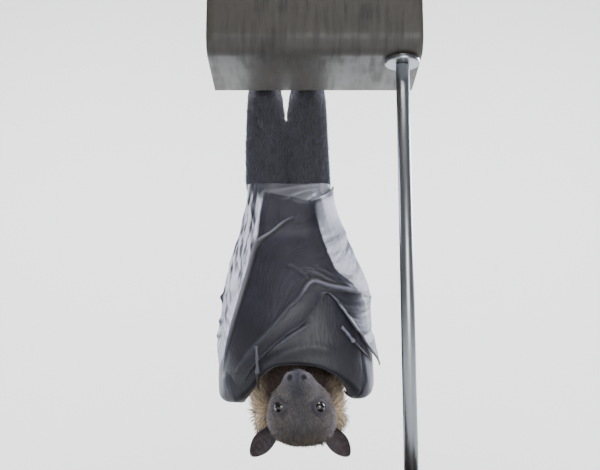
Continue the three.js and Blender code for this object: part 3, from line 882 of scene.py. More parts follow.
@dataclass(frozen=True)
class Wrapped:
    """The body inside its wrapped wings, as the solids give it."""

    body: Sections = Sections(
        z=(66, 84, 104, 128, 152, 176, 200, 220, 242),
        left=(-56, -57, -56.5, -56, -54.5, -49, -42, -38, -36.5),
        right=(54, 56, 54, 50, 48.5, 40, 31, 25, 23.5),
        front=(-22, -29, -32, -32, -29, -24, -18, -13, -8),
        back=(37, 42, 46, 49, 49, 46, 41, 36, 31),
    )
    neck: Sections = Sections(
        z=(39, 46, 56, 68, 80, 94),
        left=(-22, -31, -36.5, -38, -38, -38),
        right=(26, 35, 40, 39, 38, 37),
        front=(-2, -10, -14, -16, -17, -17),
        back=(16, 27, 36, 42, 45, 46),
    )
    rim_left: Profile = Profile(
        (0, 12, 22, 31, 43, 60, 80, 102, 140), (91, 89, 82, 73, 66.5, 65, 68.5, 86, 97)
    )
    rim_right: Profile = Profile((0, 12, 27, 40, 52, 66, 80, 102, 140), (91, 89, 83, 75, 69, 68, 72, 86, 97))
    left_crease: Profile = Profile(
        (80, 92, 131, 158, 183, 206, 226, 240), (-59, -55, -43.5, -36.4, -30.1, -27, -25, -28)
    )
    right_crease: Profile = Profile(
        (103, 117, 130, 140, 150, 156, 161, 172, 185, 197, 218, 238),
        (50, 48, 46.5, 45.5, 40, 33, 27, 22, 17.4, 14.4, 11.5, 15),
    )
    foot_z: float = 94.0  # the shoulders, lowest part of the trunk
    top_z: float = 236.0  # where the wings end and the legs come out
    back_turn: float = 139.0  # where the wings end and the furry back begins

    def rim(self, turn: Array) -> Array:
        """Lowest height of the wings at a turn."""
        return np.where(turn < 0, self.rim_left(np.abs(turn)), self.rim_right(np.abs(turn)))

    def crease_turn(self, z: Array, side: int) -> Array:
        """The turn of the crease between the front and one side, without its sign."""
        crease = self.left_crease if side < 0 else self.right_crease
        return np.abs(self.body.turn_at(crease(z), z, 0.0))

    def beside(self, turn: Array, z: Array, side: int) -> Array:
        """How far from one side's crease a place is, from 0 to 1 at the body's widest."""
        start = self.crease_turn(z, side)
        return np.clip((turn * side - start) / (90 - start), 0, 1)

    def place(self, turn: Array, z: Array, out: Array) -> Array:
        """The point at a turn and height, with the flat sides that the pulled skin makes.

        Args:
            turn: Turns, in degrees.
            z: Heights.
            out: How far outside the body, in mm.

        Returns:
            A point for each turn and height.
        """
        turn, z, out = np.broadcast_arrays(np.asarray(turn, float), z, out)
        point = self.body.point(turn, z, out)
        round_one = self.body.point(turn, z, 0 * out)
        for side, low, high in ((-1, 84, 106), (1, 104, 140)):
            corner = self.body.point(side * self.crease_turn(z, side), z, 0 * out)
            widest = self.body.point(side * 90.0 + 0 * z, z, 0 * out)
            share = (round_one[..., 0] - corner[..., 0]) / (widest[..., 0] - corner[..., 0])
            flat = corner[..., 1] + (widest[..., 1] - corner[..., 1]) * np.clip(share, 0, 1)
            inside = (share > 0) & (turn * side > 0) & (turn * side < 90)
            strength = 0.82 * rise(low, high, z) * (1 - rise(224, 237, z))
            point[..., 1] += np.where(inside, flat - round_one[..., 1], 0) * strength
        return point

    def shoulder(self, turn: Array, z: Array) -> Array:
        """How far the top of the wrap slopes in to the legs."""
        return 8.5 * rise(218, 239, z) * (1 - rise(28, 76, np.abs(turn)))

    def lip_radius(self, turn: Array) -> Array:
        """How roundly the wing's lowest edge turns in: most at the wrists."""
        return 1.6 + 4.6 * mound(np.abs(turn) - 58, 24)

    def lip(self, turn: Array, run: Array) -> tuple[Array, Array]:
        """The height and inset of a sheet whose lowest edge turns in.

        Args:
            turn: Turns, in degrees.
            run: Distance along the sheet from its lowest point, in mm, and below 0 past it.

        Returns:
            Heights, and how far the sheet lies inside its own upright part.
        """
        radius = self.lip_radius(turn)
        angle = np.clip(np.pi / 2 - run / radius, 0, np.pi)
        straight = np.maximum(run - radius * np.pi / 2, 0)
        return self.rim(turn) + radius * (1 - np.sin(angle)) + straight, radius * (1 - np.cos(angle))

    def inset(self, turn: Array, z: Array) -> Array:
        """How far the same sheet lies inside its own upright part at a height."""
        share = np.clip((z - self.rim(turn)) / self.lip_radius(turn), 0, 1)
        return self.lip_radius(turn) * (1 - np.sqrt(np.maximum(1 - (1 - share) ** 2, 0)))

    def shade(self, turn: Array, z: Array) -> Array:
        """Painted shade: how much darker the lowest part of the front is painted."""
        return 0.5 * (1 - rise(96, 150, z)) * (1 - rise(40, 62, np.abs(turn)))

    @staticmethod
    def rays(points: Array) -> Array:
        """Wrinkles across the top that run from the third finger's tip, where the skin is pulled.

        Args:
            points: Places, in the animal's frame.

        Returns:
            Their height, from -1 to 1.
        """
        across, down = 29.0 - points[..., 0], 237.5 - points[..., 2]
        far = np.hypot(across, down)
        angle = np.arctan2(down, np.maximum(across, 0.5))
        fan = grain(np.stack((angle * 9, far / 30), -1), (0.62, 1.0), 31)
        return fan * rise(2, 14, far) * (1 - rise(36, 62, far)) * rise(214, 224, points[..., 2])

    def painted_highlight(self, turn: Array, z: Array) -> Array:
        """Painted highlight: where the skin is painted paler for the light that grazes it past both creases,
        and for the light that falls across the top of the front.

        Args:
            turn: Turns, in degrees.
            z: Heights.

        Returns:
            An amount from 0 to 1 for each place.
        """
        slant = np.stack((z + turn * 0.6, turn), -1)
        mottle = 0.15 + 0.13 * grain(slant, (9, 2.6), 61) + 0.1 * grain(slant, (4, 2.0), 62)
        left = rise(0.0, 0.05, self.beside(turn, z, -1)) * mottle
        upper = rise(190, 215, z)
        past = rise(0.0, 0.1, self.beside(turn, z, 1))
        right = (0.12 + 0.6 * upper + 0.07 * grain(slant, (14, 3.0), 63)) * past
        x = self.body.point(turn, z, 0 * z)[..., 0]
        fold = Profile((-27, -19, -5.4, 10.7, 20, 28), (226.7, 224.4, 220.5, 218.5, 227, 236))(x)
        rays = 0.6 + 0.4 * rise(-10, 20, x) + 0.35 * self.rays(np.stack((x, 0 * x, z), -1))
        band = rays * rise(-1.0, 1.5, z - fold) * rise(-34, -20, x) * (np.abs(turn) < 80)
        slope = 0.1 * rise(184, 192, z) * rise(-26, -22, x) * (1 - rise(4, 12, x)) * (np.abs(turn) < 80)
        sides = np.where(turn < 0, left, right) * (1 - rise(92, 112, np.abs(turn)))
        return np.clip(np.maximum(np.maximum(sides, slope), band), 0, 1)

    def crinkle(self, turn: Array, z: Array) -> Array:
        """The small folds of slack skin on the left, between the forearm and the third finger.

        Args:
            turn: Turns, in degrees.
            z: Heights.

        Returns:
            Their height, in mm.
        """
        slack = rise(0.02, 0.12, self.beside(turn, z, -1)) * rise(92, 128, z) * (1 - rise(222, 234, z))
        slant = np.stack((z * 0.75 - turn * 0.5, turn * 0.8 + z * 0.55), -1)
        lumps = grain(slant, (12, 5.0), 21) * 0.85 + grain(slant, (5.5, 3.2), 23) * 0.3
        return slack * (1 - 0.5 * rise(0.75, 1.0, self.beside(turn, z, -1))) * lumps


ALONG_HEAD = (-40, -36, -28, -16, -4, 6, 16, 25, 31, 34.5)  # from the back of the head to the nose, in mm


@dataclass(frozen=True)
class HeadForm:
    """The head in its own frame: forward, to the animal's left, and up, from midway between the eyes."""

    at: tuple[float, float, float] = (2.5, -28.0, 58.5)
    pitch: float = 21.0
    yaw: float = -5.0
    eye_apart: float = 26.4
    eye_forward: float = 4.2
    eye_radius: float = 5.5
    look: tuple[float, float, float] = (0.79, 0.52, 0.3)  # an eye's line of sight: forward, outward, up
    opening: float = 47.0  # half the angle between the lids
    nostril: tuple[float, float, float] = (34.5, 5.0, -9.3)
    half: Profile = Profile(ALONG_HEAD, (10, 18, 24, 27, 26, 21.5, 15.0, 10.5, 8.3, 5.2))
    top: Profile = Profile(ALONG_HEAD, (6, 12, 17.5, 21.5, 16.5, 6.8, 0.5, -3.2, -5, -7))
    bottom: Profile = Profile(ALONG_HEAD, (-7, -13, -18, -21, -22, -22.2, -21.4, -19.4, -17.2, -13.8))
    widest: Profile = Profile(ALONG_HEAD, (0.5, 0.5, 0.5, 0.52, 0.6, 0.68, 0.64, 0.56, 0.5, 0.5))
    fur_depth: Profile = Profile((-40, -16, 0, 12, 24, 34), (4.5, 4.0, 2.6, 1.6, 0.9, 0.4))

    def axes(self) -> Array:
        """The head's own directions.

        Returns:
            Rows: forward, the animal's left and up, in the animal's frame.
        """
        a, b = math.radians(self.yaw), math.radians(-self.pitch)
        turn_z = np.array(((math.cos(a), -math.sin(a), 0), (math.sin(a), math.cos(a), 0), (0, 0, 1)))
        turn_x = np.array(((1, 0, 0), (0, math.cos(b), -math.sin(b)), (0, math.sin(b), math.cos(b))))
        return (turn_z @ turn_x @ np.array(((0, -1, 0), (-1, 0, 0), (0, 0, -1.0)))).T

    def out_of(self, own: Array) -> Array:
        """Places of the head's frame in the animal's frame."""
        return own @ self.axes() + np.array(self.at)

    def into(self, points: Array) -> Array:
        """Places of the animal's frame in the head's frame."""
        return (points - np.array(self.at)) @ self.axes().T

    def ring(self, forward: float, sides: int) -> Array:
        """A ring of the bare head at a place along it.

        Args:
            forward: The place, in mm in front of the eyes.
            sides: How many points.

        Returns:
            Points of the head's frame.
        """
        f = np.array(forward)
        inset = self.fur_depth(f)
        half, top, bottom = self.half(f) - inset, self.top(f) - inset, self.bottom(f) + inset
        middle = bottom + (top - bottom) * self.widest(f)
        a = np.linspace(0, 2 * np.pi, sides, endpoint=False)
        high = np.where(np.sin(a) > 0, top - middle, middle - bottom) * signed_power(np.sin(a), 0.88)
        return np.stack((np.full(sides, forward), half * signed_power(np.cos(a), 0.88), middle + high), -1)

    def off_look(self, own: Array) -> tuple[Array, Array]:
        """How far places are from the nearer eye's middle, and how far off its line of sight.

        Args:
            own: Places, in the head's frame.

        Returns:
            Distances in mm, and angles in degrees.
        """
        side = np.where(own[..., 1] < 0, -1.0, 1.0)
        centre = np.array((self.eye_forward, self.eye_apart / 2, 0.0))
        from_eye = np.stack((own[..., 0], own[..., 1] * side, own[..., 2]), -1) - centre
        look = unit(np.array(self.look))
        far = np.linalg.norm(from_eye, axis=-1)
        return far, np.degrees(np.arccos(np.clip(from_eye @ look / np.maximum(far, 1e-6), -1, 1)))

    def off_nostril(self, own: Array) -> Array:
        """How far places of the head's frame are from the nearer nostril."""
        mirrored = np.stack((own[..., 0], np.abs(own[..., 1]), own[..., 2]), -1)
        return np.linalg.norm((mirrored - self.nostril) * (0.5, 1, 1), axis=-1)

    def holds(self, points: Array) -> Array:
        """Tells the head from the neck.

        Args:
            points: Places, in the animal's frame.

        Returns:
            1 on the head and 0 on the neck, for each place.
        """
        own = self.into(points)
        f = own[:, 0]
        margin = 1 + 4 * rise(-14, -2, f)
        half, top = self.half(f) + margin, self.top(f) + margin
        bottom = self.bottom(f) - 1 - 2 * rise(20, 26, f)
        off = np.hypot(own[:, 1] / half, (own[:, 2] - (top + bottom) / 2) / ((top - bottom) / 2))
        return (1 - rise(1.0, 1.12, off)) * rise(-37, -30, f)

    def eye_centre(self, side: int) -> Array:
        """The middle of one eyeball, in the animal's frame. Side is -1 on the viewer's left."""
        return self.out_of(np.array((self.eye_forward, -side * self.eye_apart / 2, 0.0)))


WRAPPED = Wrapped()
HEAD = HeadForm()


# Wings


def on_front(places: Places, out: float, steps: int = 16) -> Array:
    """A smooth line over the front of the wings, from places seen from the front as (x, z)."""
    x, z = SmoothLine(places, steps).points.T
    return WRAPPED.place(WRAPPED.body.turn_at(x, z, out), z, np.full(len(z), out))


class Edge(Enum):
    """How a ridge stands out of a sheet."""

    ROUND = "round"
    SHARP = "sharp"


@dataclass(frozen=True)
class Ridge:
    """A bone, tendon or fold along a line, given by places seen from the front, as (x, z)."""

    line: tuple[tuple[float, float], ...]
    height: float
    reach: float
    edge: Edge = Edge.ROUND

    def lift(self, points: Array, out: float) -> Array:
        """How far it lifts each place of a sheet.

        Args:
            points: Places, in the animal's frame.
            out: How far the sheet lies outside the body.

        Returns:
            Heights, in mm.
        """
        d, share = distance_to(points, on_front(self.line, out, 12))
        ends = rise(0, 0.15, share) * (1 - rise(0.85, 1, share)) * 0.75 + 0.25
        shape = mound(d, self.reach) if self.edge is Edge.ROUND else np.exp(-d / self.reach)
        return self.height * shape * ends


@dataclass(frozen=True)
class Wings:
    """Both wings: the left hand's sheet over all, the right hand's under it, each arm's round its side."""

    over_out: float = 5.3
    under_out: float = 2.4
    arm_out: float = 2.6
    skin: float = 0.8  # how thick a membrane is drawn
    bone_radius: float = 1.7
    scallop: float = 7.0
    split: float = 0.6  # where across the hand the fourth finger lies
    third: Places = (
        *((-58, 79), (-54, 92), (-43.5, 131), (-36.4, 158), (-31, 180)),
        *((-29, 184.5), (-18.8, 193), (-6.8, 203), (10.7, 218), (27.5, 236)),
    )
    fourth: Places = (
        *((-50, 74), (-30.5, 103), (-14.5, 121), (0.8, 138), (9.5, 151)),
        *((13.5, 152), (20.8, 149.5), (32, 147.7), (44.2, 146.5), (57.5, 147)),
    )
    fifth: Places = (
        *((-44, 71), (-25.3, 95.3), (-7.1, 111.7), (13.3, 131), (20.5, 143)),
        *((24, 142), (31.8, 132.4), (42.9, 116.8), (52.9, 103.1), (61.5, 94.5)),
    )
    left_front: float = -44.0  # where each arm's sheet starts, in degrees
    right_front: float = 50.0

    def finger(self, places: Places) -> SmoothLine:
        """A finger's line as (turn, z)."""
        turns = [(float(WRAPPED.body.turn_at(np.array(x), np.array(z), 3.3)), z) for x, z in places]
        return SmoothLine(turns)

    def over_hand(self, finish: Material) -> None:
        """The left hand's sheet: membranes between three finger bones that fan from the wrist.

        Args:
            finish: Its material.
        """
        nu, nv = 190, 210
        u, v = grid(nu, nv)
        lines = [self.finger(places) for places in (self.third, self.fourth, self.fifth)]
        third, fourth, fifth = (line.at(u) for line in lines)
        first = v < self.split
        t = np.where(first, v / self.split, (v - self.split) / (1 - self.split))
        before, after = (np.where(first[..., None], *pair) for pair in ((third, fourth), (fourth, fifth)))
        place = before * (1 - t[..., None]) + after * t[..., None]
        sag = np.sin(np.pi * t)
        turn = place[..., 0] - self.scallop * 1.6 * sag * u**6
        z = place[..., 1]
        free = 3.0 * u**8 * (1 - rise(190, 236, z))
        top_edge = (1 - rise(0, 0.25, v)) * (rise(0.47, 0.54, u) + 3.1 * rise(0.57, 0.66, u))
        top_edge = top_edge * (1 - rise(0.7, 0.8, u))
        out = self.over_out + free - 3.4 * (1 - rise(0.0, 0.14, u)) - WRAPPED.shoulder(turn, z)
        out = out - 1.1 * sag * rise(0.15, 0.5, u) - top_edge
        inset = WRAPPED.inset(turn, z)
        flat = WRAPPED.place(turn, z, out - inset)
        bone, lift, hollow = np.zeros((3, nu, nv))
        rows = (0, int(round(self.split * (nv - 1))), nv - 1)
        for row, seen, knuckles in zip(rows, (0.0, 0.52, 0.55), ((0.47, 0.75), (0.56, 0.78), (0.58, 0.76))):
            d, share = distance_to(flat, flat[::3, row])
            joints = sum(0.45 * mound(share - knuckle, 0.02) for knuckle in knuckles)
            thick = 1.0 - 0.4 * share - 0.3 * rise(0.85, 1.0, share) + joints
            start = rise(0.02, 0.2, share) * (0.42 + 0.58 * rise(seen - 0.08, seen, share))
            if row == 0:
                start = start * (1 - rise(0.57, 0.65, share) * (1 - rise(0.71, 0.77, share)))
                thick = thick * (1 - 0.65 * rise(0.46, 0.54, share))
            lift = lift + 1.9 * start * thick * mound(d, self.bone_radius * (0.6 + 0.3 * thick))
            # painted highlight along each bone, full where the bone is seen
            bright = 1.0 if row == 0 else 0.35 + 0.65 * rise(seen - 0.04, seen + 0.02, share)
            bright = bright * (1 - 0.55 * rise(0.84, 0.98, share))
            bone = np.maximum(bone, mound(d, 1.3) * start * bright)
            # painted shadow on the skin beside each bone
            beside = 0.85 * mound(np.maximum(d - 2.6, 0), 1.7) * (d > 1.6)
            hollow = np.maximum(hollow, beside * start * bright)
        lift = lift + self.fold_marks(flat, self.over_out)
        cloth = np.stack((u * 170, (v * 120) * (0.25 + 0.75 * u), np.zeros_like(u)), -1)
        fan = grain(cloth[..., :2], (26, 2.6), 3) * 0.22 + grain(cloth[..., :2], (40, 6), 5) * 0.4
        fan = fan * (1 - rise(0.62, 0.7, u) * (1 - rise(0.1, 0.3, v)))
        quiet = 1 - 0.75 * (rise(0.12, 0.3, t) * (1 - rise(0.7, 0.9, t)) * (1 - rise(0.45, 0.8, u)))
        out = out - inset + lift + fan * quiet * (1 - bone) * (0.35 + rise(0.4, 0.9, u))
        thickness = self.skin + 1.3 * bone
        # painted shade low on the front joins the painted shadow beside the bones, except on the bones
        hollow = np.maximum(hollow, WRAPPED.shade(turn, z)) * (1 - bone)
        # painted highlight on the lit sides and the top of the wrap
        marks = {"bone": bone, "hollow": hollow, "painted_highlight": WRAPPED.painted_highlight(turn, z)}
        self.sheet("wing_left_hand", turn, z, out, thickness, marks, cloth, finish)

    def fold_marks(self, points: Array, out: float) -> Array:
        """The folds of the wrapped skin that aren't bones, on the uppermost sheet.

        Args:
            points: Places, in the animal's frame.
            out: How far the sheet lies outside the body.

        Returns:
            Heights, in mm.
        """
        folds = (
            Ridge(((11, 219), (14.4, 197), (17.4, 185), (22, 172), (27, 160)), 0.9, 3.0, Edge.SHARP),
            Ridge(((-7, 164.5), (-3.6, 162.5), (3, 158.5), (11, 152.5)), 1.3, 1.5),
            Ridge(((4, 162), (14, 160), (26, 154), (44, 148.5)), 0.7, 1.3),
            Ridge(((12, 165), (24, 160), (36, 153)), 0.5, 1.4),
            Ridge(((10, 219), (19, 226), (27, 235)), 2.0, 1.6),
            Ridge(((-20, 214), (-14, 208), (-4, 206)), 0.4, 2.0),
        )
        return sum(fold.lift(points, out) for fold in folds)

    def under_hand(self, finish: Material) -> None:
        """The right hand's sheet, which closes the front under the left one and slopes in to the legs.

        Args:
            finish: Its material.
        """
        u, v = grid(150, 210)
        turn = -58 + u * 120
        radius = WRAPPED.lip_radius(turn)
        top = WRAPPED.top_z - 1.5 * np.sin(np.pi * u)
        length = top - WRAPPED.rim(turn) - radius + radius * np.pi / 2
        start = -radius * 0.7
        z, inset = WRAPPED.lip(turn, start + v * (length - start))
        tuck = 3.2 * (1 - rise(-57, -45, turn)) + 0.9 * rise(50, 57, turn)
        out = self.under_out - tuck - WRAPPED.shoulder(turn, z)
        flat = WRAPPED.place(turn, z, out - inset)
        folds = (
            Ridge(((-19, 101), (-5, 111), (9, 120)), 0.8, 1.6),
            Ridge(((-30, 86), (-10, 98), (10, 103), (30, 100)), 0.8, 4.0),
            Ridge(((-25, 227), (-19, 224.4), (-5.4, 220.5), (12, 218)), 1.5, 1.7),
            Ridge(((-29, 184), (-27.5, 200), (-26, 212), (-24, 227)), 1.3, 1.5, Edge.SHARP),
        )
        lift = sum(fold.lift(flat, self.under_out) for fold in folds)
        cloth = np.stack((z, turn * 0.9, np.zeros_like(u)), -1)
        crease = grain(cloth[..., :2], (30, 3.2), 11) * 0.25 + grain(cloth[..., :2], (9, 7), 12) * 0.25
        crease = crease * (0.25 + 0.75 * rise(120, 170, z))
        rays = WRAPPED.rays(flat)
        out = out - inset + lift + crease + 1.5 * rays + WRAPPED.crinkle(turn, z)
        # painted highlight on the fold of the finger beneath, and on the rays across the top
        bone = np.clip(folds[0].lift(flat, self.under_out), 0, 1) * 0.3
        pulled = 0.6 * rise(2, 20, flat[..., 0]) * rise(222, 228, z) * rise(0.1, 0.8, rays + 0.5)
        bone = np.maximum(bone, pulled)
        # painted shade low on the front, and painted highlight on the lit sides and the top
        marks = {"bone": bone, "hollow": WRAPPED.shade(turn, z), "painted_highlight": WRAPPED.painted_highlight(turn, z)}
        self.sheet("wing_right_hand", turn, z, out, np.full_like(u, self.skin), marks, cloth, finish)

    def arm(self, side: int, finish: Material) -> None:
        """One arm's sheet, round its side and back: skin over the folded forearm and upper arm.

        Args:
            side: -1 left, 1 right.
            finish: Its material.
        """
        front = self.left_front if side < 0 else self.right_front
        u, v = grid(150, 210)
        if side > 0:
            u = 1 - u
        turn = front + u * (side * (WRAPPED.back_turn + 2) - front)
        radius = WRAPPED.lip_radius(turn)
        length = WRAPPED.top_z - 0.4 - WRAPPED.rim(turn) - radius + radius * np.pi / 2
        start = -radius * 1.3
        z, inset = WRAPPED.lip(turn, start + v * (length - start))
        forearm = self.arm_line(side, ((60, 80, 0), (104, 130, 1), (126, 186, 0)))
        upper = self.arm_line(side, ((126, 186, 0), (134, 146, 1), (139, 104, 0)))
        flat = WRAPPED.place(turn, z, self.arm_out - inset)
        d1, share = distance_to(flat, forearm[::6])
        d2, _ = distance_to(flat, upper[::6])
        muscle = 4.3 - 1.4 * rise(0.0, 0.5, share) + 1.4 * rise(0.5, 0.9, share)
        ease = rise(84, 112, z)
        out = self.arm_out + ease * (muscle * mound(d1, 6.5) + 3.6 * mound(d2, 7.0)) * 0.85
        out = out + 0.8 * ease * mound(d1 - 4.5, 1.3) * (1 - rise(0.4, 0.7, share))
        knuckle = WRAPPED.place(side * 58.0, 80.0, 0.0)
        out = out + 1.6 * mound(np.linalg.norm(flat - knuckle, axis=-1), 7)
        if side < 0:
            for height in (147.0, 128.0, 118.0):
                tag = WRAPPED.place(-90.0, height, self.arm_out)
                out = out + 1.5 * mound(np.linalg.norm((flat - tag) * (1, 0.5, 1.3), axis=-1), 3.2)
        tuck = 1.7 * (1 - rise(0, 0.07, u)) if side > 0 else 0.5 * mound(u, 0.02)
        hem = rise(0.88, 1.0, u)
        out = out * (1 - hem) - 2.5 * hem
        tuck = tuck + WRAPPED.shoulder(turn, z)
        cloth = np.stack((z, turn * 0.9, np.zeros_like(u)), -1)
        slant = np.stack((z * 0.8 + turn * 0.55, turn * 0.75 - z * 0.45), -1)
        loose = rise(90, 130, z) * rise(60, 90, np.abs(turn)) * (1 - 0.7 * mound(d1, 6))
        crinkle = loose * (grain(slant, (15, 4.4), 21 + side) * 0.6 + grain(slant, (7, 3), 23) * 0.3)
        crinkle = crinkle + grain(cloth[..., :2], (22, 3.5), 25) * 0.25 + WRAPPED.crinkle(turn, z)
        out = out - inset - tuck + crinkle
        # a faint painted highlight along the forearm
        bone = mound(d1, 2.2) * ease * 0.3
        # painted highlight where the side light grazes the arm's skin
        marks = {"bone": bone, "hollow": 0 * u, "painted_highlight": WRAPPED.painted_highlight(turn, z)}
        node = f"wing_{SIDES[side]}_arm"
        self.sheet(node, turn, z, out, np.full_like(u, self.skin), marks, cloth, finish)

    @staticmethod
    def arm_line(side: int, places: Sequence[tuple[float, float, float]]) -> Array:
        """A bone of the arm under the sheet, from places given as turn, height and depth outside."""
        points = [WRAPPED.place(side * float(t), float(z), float(out)) for t, z, out in places]
        return SmoothLine(points).points

    def sheet(
        self,
        node: str,
        turn: Array,
        z: Array,
        out: Array,
        thickness: Array,
        marks: dict[str, Array],
        cloth: Array,
        finish: Material,
    ) -> None:
        """Makes one sheet from its grids, and stores its markings and how its skin is pulled.

        Args:
            node: The CAD node that it replaces.
            turn: Turns, in degrees.
            z: Heights.
            out: How far outside the body.
            thickness: How thick it is.
            marks: Amounts by marking.
            cloth: Places on the skin as it would lie flat, in mm.
            finish: Its material.
        """
        sides = (WRAPPED.place(turn, z, depth) for depth in (out, out - thickness))
        piece = make_piece(node + "_skin", *closed_sheet(*sides), closed=True)
        for name, values in marks.items():
            set_value(piece, name, np.tile(values.ravel(), 2))
        pulled = piece.data.attributes.new("cloth", "FLOAT_VECTOR", "POINT")
        pulled.data.foreach_set("vector", np.tile(cloth.ravel() * MM, 2).astype(np.float32))
        settle(piece, "wing_membrane", finish, node)

    def thumb(self, side: int, skin: Material, horn: Material) -> None:
        """One thumb, lying on the wing: a jointed digit in wing skin, and its hooked claw.

        Args:
            side: -1 left, 1 right.
            skin: The digit's material.
            horn: The claw's material.
        """
        if side < 0:
            name, places, lift = "thumb_left", ((-29.5, 104), (-29, 95), (-28.6, 84)), self.over_out + 0.9
            claw = ((-28.6, 84), (-28.2, 79), (-27.8, 74.5), (-26.6, 72))
        else:
            name, places, lift = "thumb_right", ((33, 118.5), (37.5, 113.5), (42, 108)), self.under_out + 1.6
            claw = ((42, 108), (46, 104), (50, 100.5), (52.5, 99.5))
        digit = on_front(places, lift)
        share = np.linspace(0, 1, len(digit))
        radii = 0.95 + 0.3 * mound(share - 0.5, 0.1) + 0.7 * mound(share - 0.93, 0.1)
        radii = radii + 0.4 * mound(share, 0.15)
        made = make_piece(name + "_digit", *tube(digit, radii, 16))
        # painted highlight on the digit, stronger on the right thumb
        for marking, value in (("bone", 0.4 if side < 0 else 0.9), ("hollow", 0.0), ("painted_highlight", 0.0)):
            set_value(made, marking, np.full(len(made.data.vertices), value))
        settle(made, "bare_skin", skin, name)
        hook = on_front(claw, lift + 0.3)
        share = np.linspace(0, 1, len(hook))
        tip = make_piece(name + "_claw", *tube(hook, 1.25 * (1 - share) ** 0.7 + 0.12, 12, 0.75))
        settle(tip, "claw_horn", horn, name)


# The furry body


@dataclass(frozen=True)
class Legs:
    """Both legs in the bare, and the feet that hook over the bead."""

    middle_x: float = -9.2
    base_z: float = 220.0
    fur: float = 3.2
    bead_z: float = 318.0
    bead_radius: float = 5.0
    toe_apart: float = 3.9
    toe_count: int = 5
    foot_x: float = 17.0  # from the middle to each foot
    left: tuple[float, ...] = (-41, -41.8, -42.2, -41.9, -41.6, -41.4, -41)  # where the fur ends, by height
    right: tuple[float, ...] = (28, 27.8, 26.4, 25.3, 24.6, 24.1, 23.6)

    def leg(self, side: int) -> tuple[Array, Faces]:
        """One leg without its fur, from inside the body to the ankle.

        Args:
            side: -1 left, 1 right.

        Returns:
            Vertices and faces.
        """
        z = np.concatenate((np.linspace(self.base_z, 308, 24), np.linspace(311, 320.5, 7)))
        parted = Profile((220, 262, 284, 300, 312, 318), (0, 0, 0.2, 1.8, 2.9, 3.5))(z)
        deep = Profile((220, 236, 262, 284, 300, 312, 318), (15, 14.5, 13, 11, 9.2, 7.8, 5.6))(z)
        y = Profile((220, 262, 284, 300, 318), (13, 13, 13.5, 14.5, 14.5))(z)
        fur = Profile((220, 262, 300, 318), (2.6, 2.2, 2.0, 1.8))(z)
        inner = self.middle_x + side * (parted + Profile((220, 276, 292, 318), (-0.6, -0.6, 0.5, 0.7))(z))
        edge = Profile((220, 236, 262, 284, 300, 312, 318), self.left if side < 0 else self.right)
        outer = edge(z) - side * fur
        middle, half = (inner + outer) / 2, np.abs(outer - inner) / 2
        a = np.linspace(0, 2 * np.pi, 40, endpoint=False)
        x = middle[:, None] + half[:, None] * signed_power(np.cos(a), 0.8)
        depth = y[:, None] + (deep - fur * 0.8)[:, None] * signed_power(np.sin(a), 0.85)
        return loft(np.stack((x, depth, np.broadcast_to(z[:, None], x.shape)), -1))

    def around(self, x: float, degrees: Array, reach: Array) -> Array:
        """Places round the bead: 0 behind it, 90 above it and 180 in front."""
        a = np.radians(degrees)
        return np.stack(np.broadcast_arrays(x, reach * np.cos(a), self.bead_z + reach * np.sin(a)), -1)

    def foot(self, side: int) -> tuple[tuple[Array, Faces], tuple[Array, Faces]]:
        """One foot: its skin, which is sole and toes, and its claws.

        Args:
            side: -1 left, 1 right.

        Returns:
            Vertices and faces of the skin, and of the claws.
        """
        middle = self.middle_x + side * self.foot_x
        turns, reaches = np.array(((-22.0, 0, 20, 40, 55), (13.5, 12.6, 11.6, 10.6, 9.6)))
        sole = SmoothLine(self.around(middle, turns, reaches), 6).points
        radii = np.interp(np.linspace(0, 4, 25), range(5), (5.5, 6.6, 7.6, 8.2, 7.6))
        skin, claws = [tube(sole, radii, 24, 0.42)], []
        reach = self.bead_radius + 2.1
        for toe in range(self.toe_count):
            offset = (toe - (self.toe_count - 1) / 2) * self.toe_apart
            x = middle + offset
            turns = np.linspace(30, 122, 22)
            share = np.linspace(0, 1, 22)
            path = self.around(x, turns, reach + 0.5 * mound(share - 0.55, 0.15) + 1.0 * (1 - share) ** 2)
            path[:, 0] = middle + offset * (0.85 + 0.15 * share)
            skin.append(tube(path, 1.75 - 0.35 * share + 0.3 * mound(share - 0.55, 0.08), 12))
            turns = np.linspace(112, 190, 16)
            share = np.linspace(0, 1, 16)
            hook = self.around(x, turns, reach + 0.6 - 0.9 * share)
            claws.append(tube(hook, 1.25 * (1 - share) ** 0.8 + 0.1, 10, 0.7))
        return joined(skin), joined(claws)


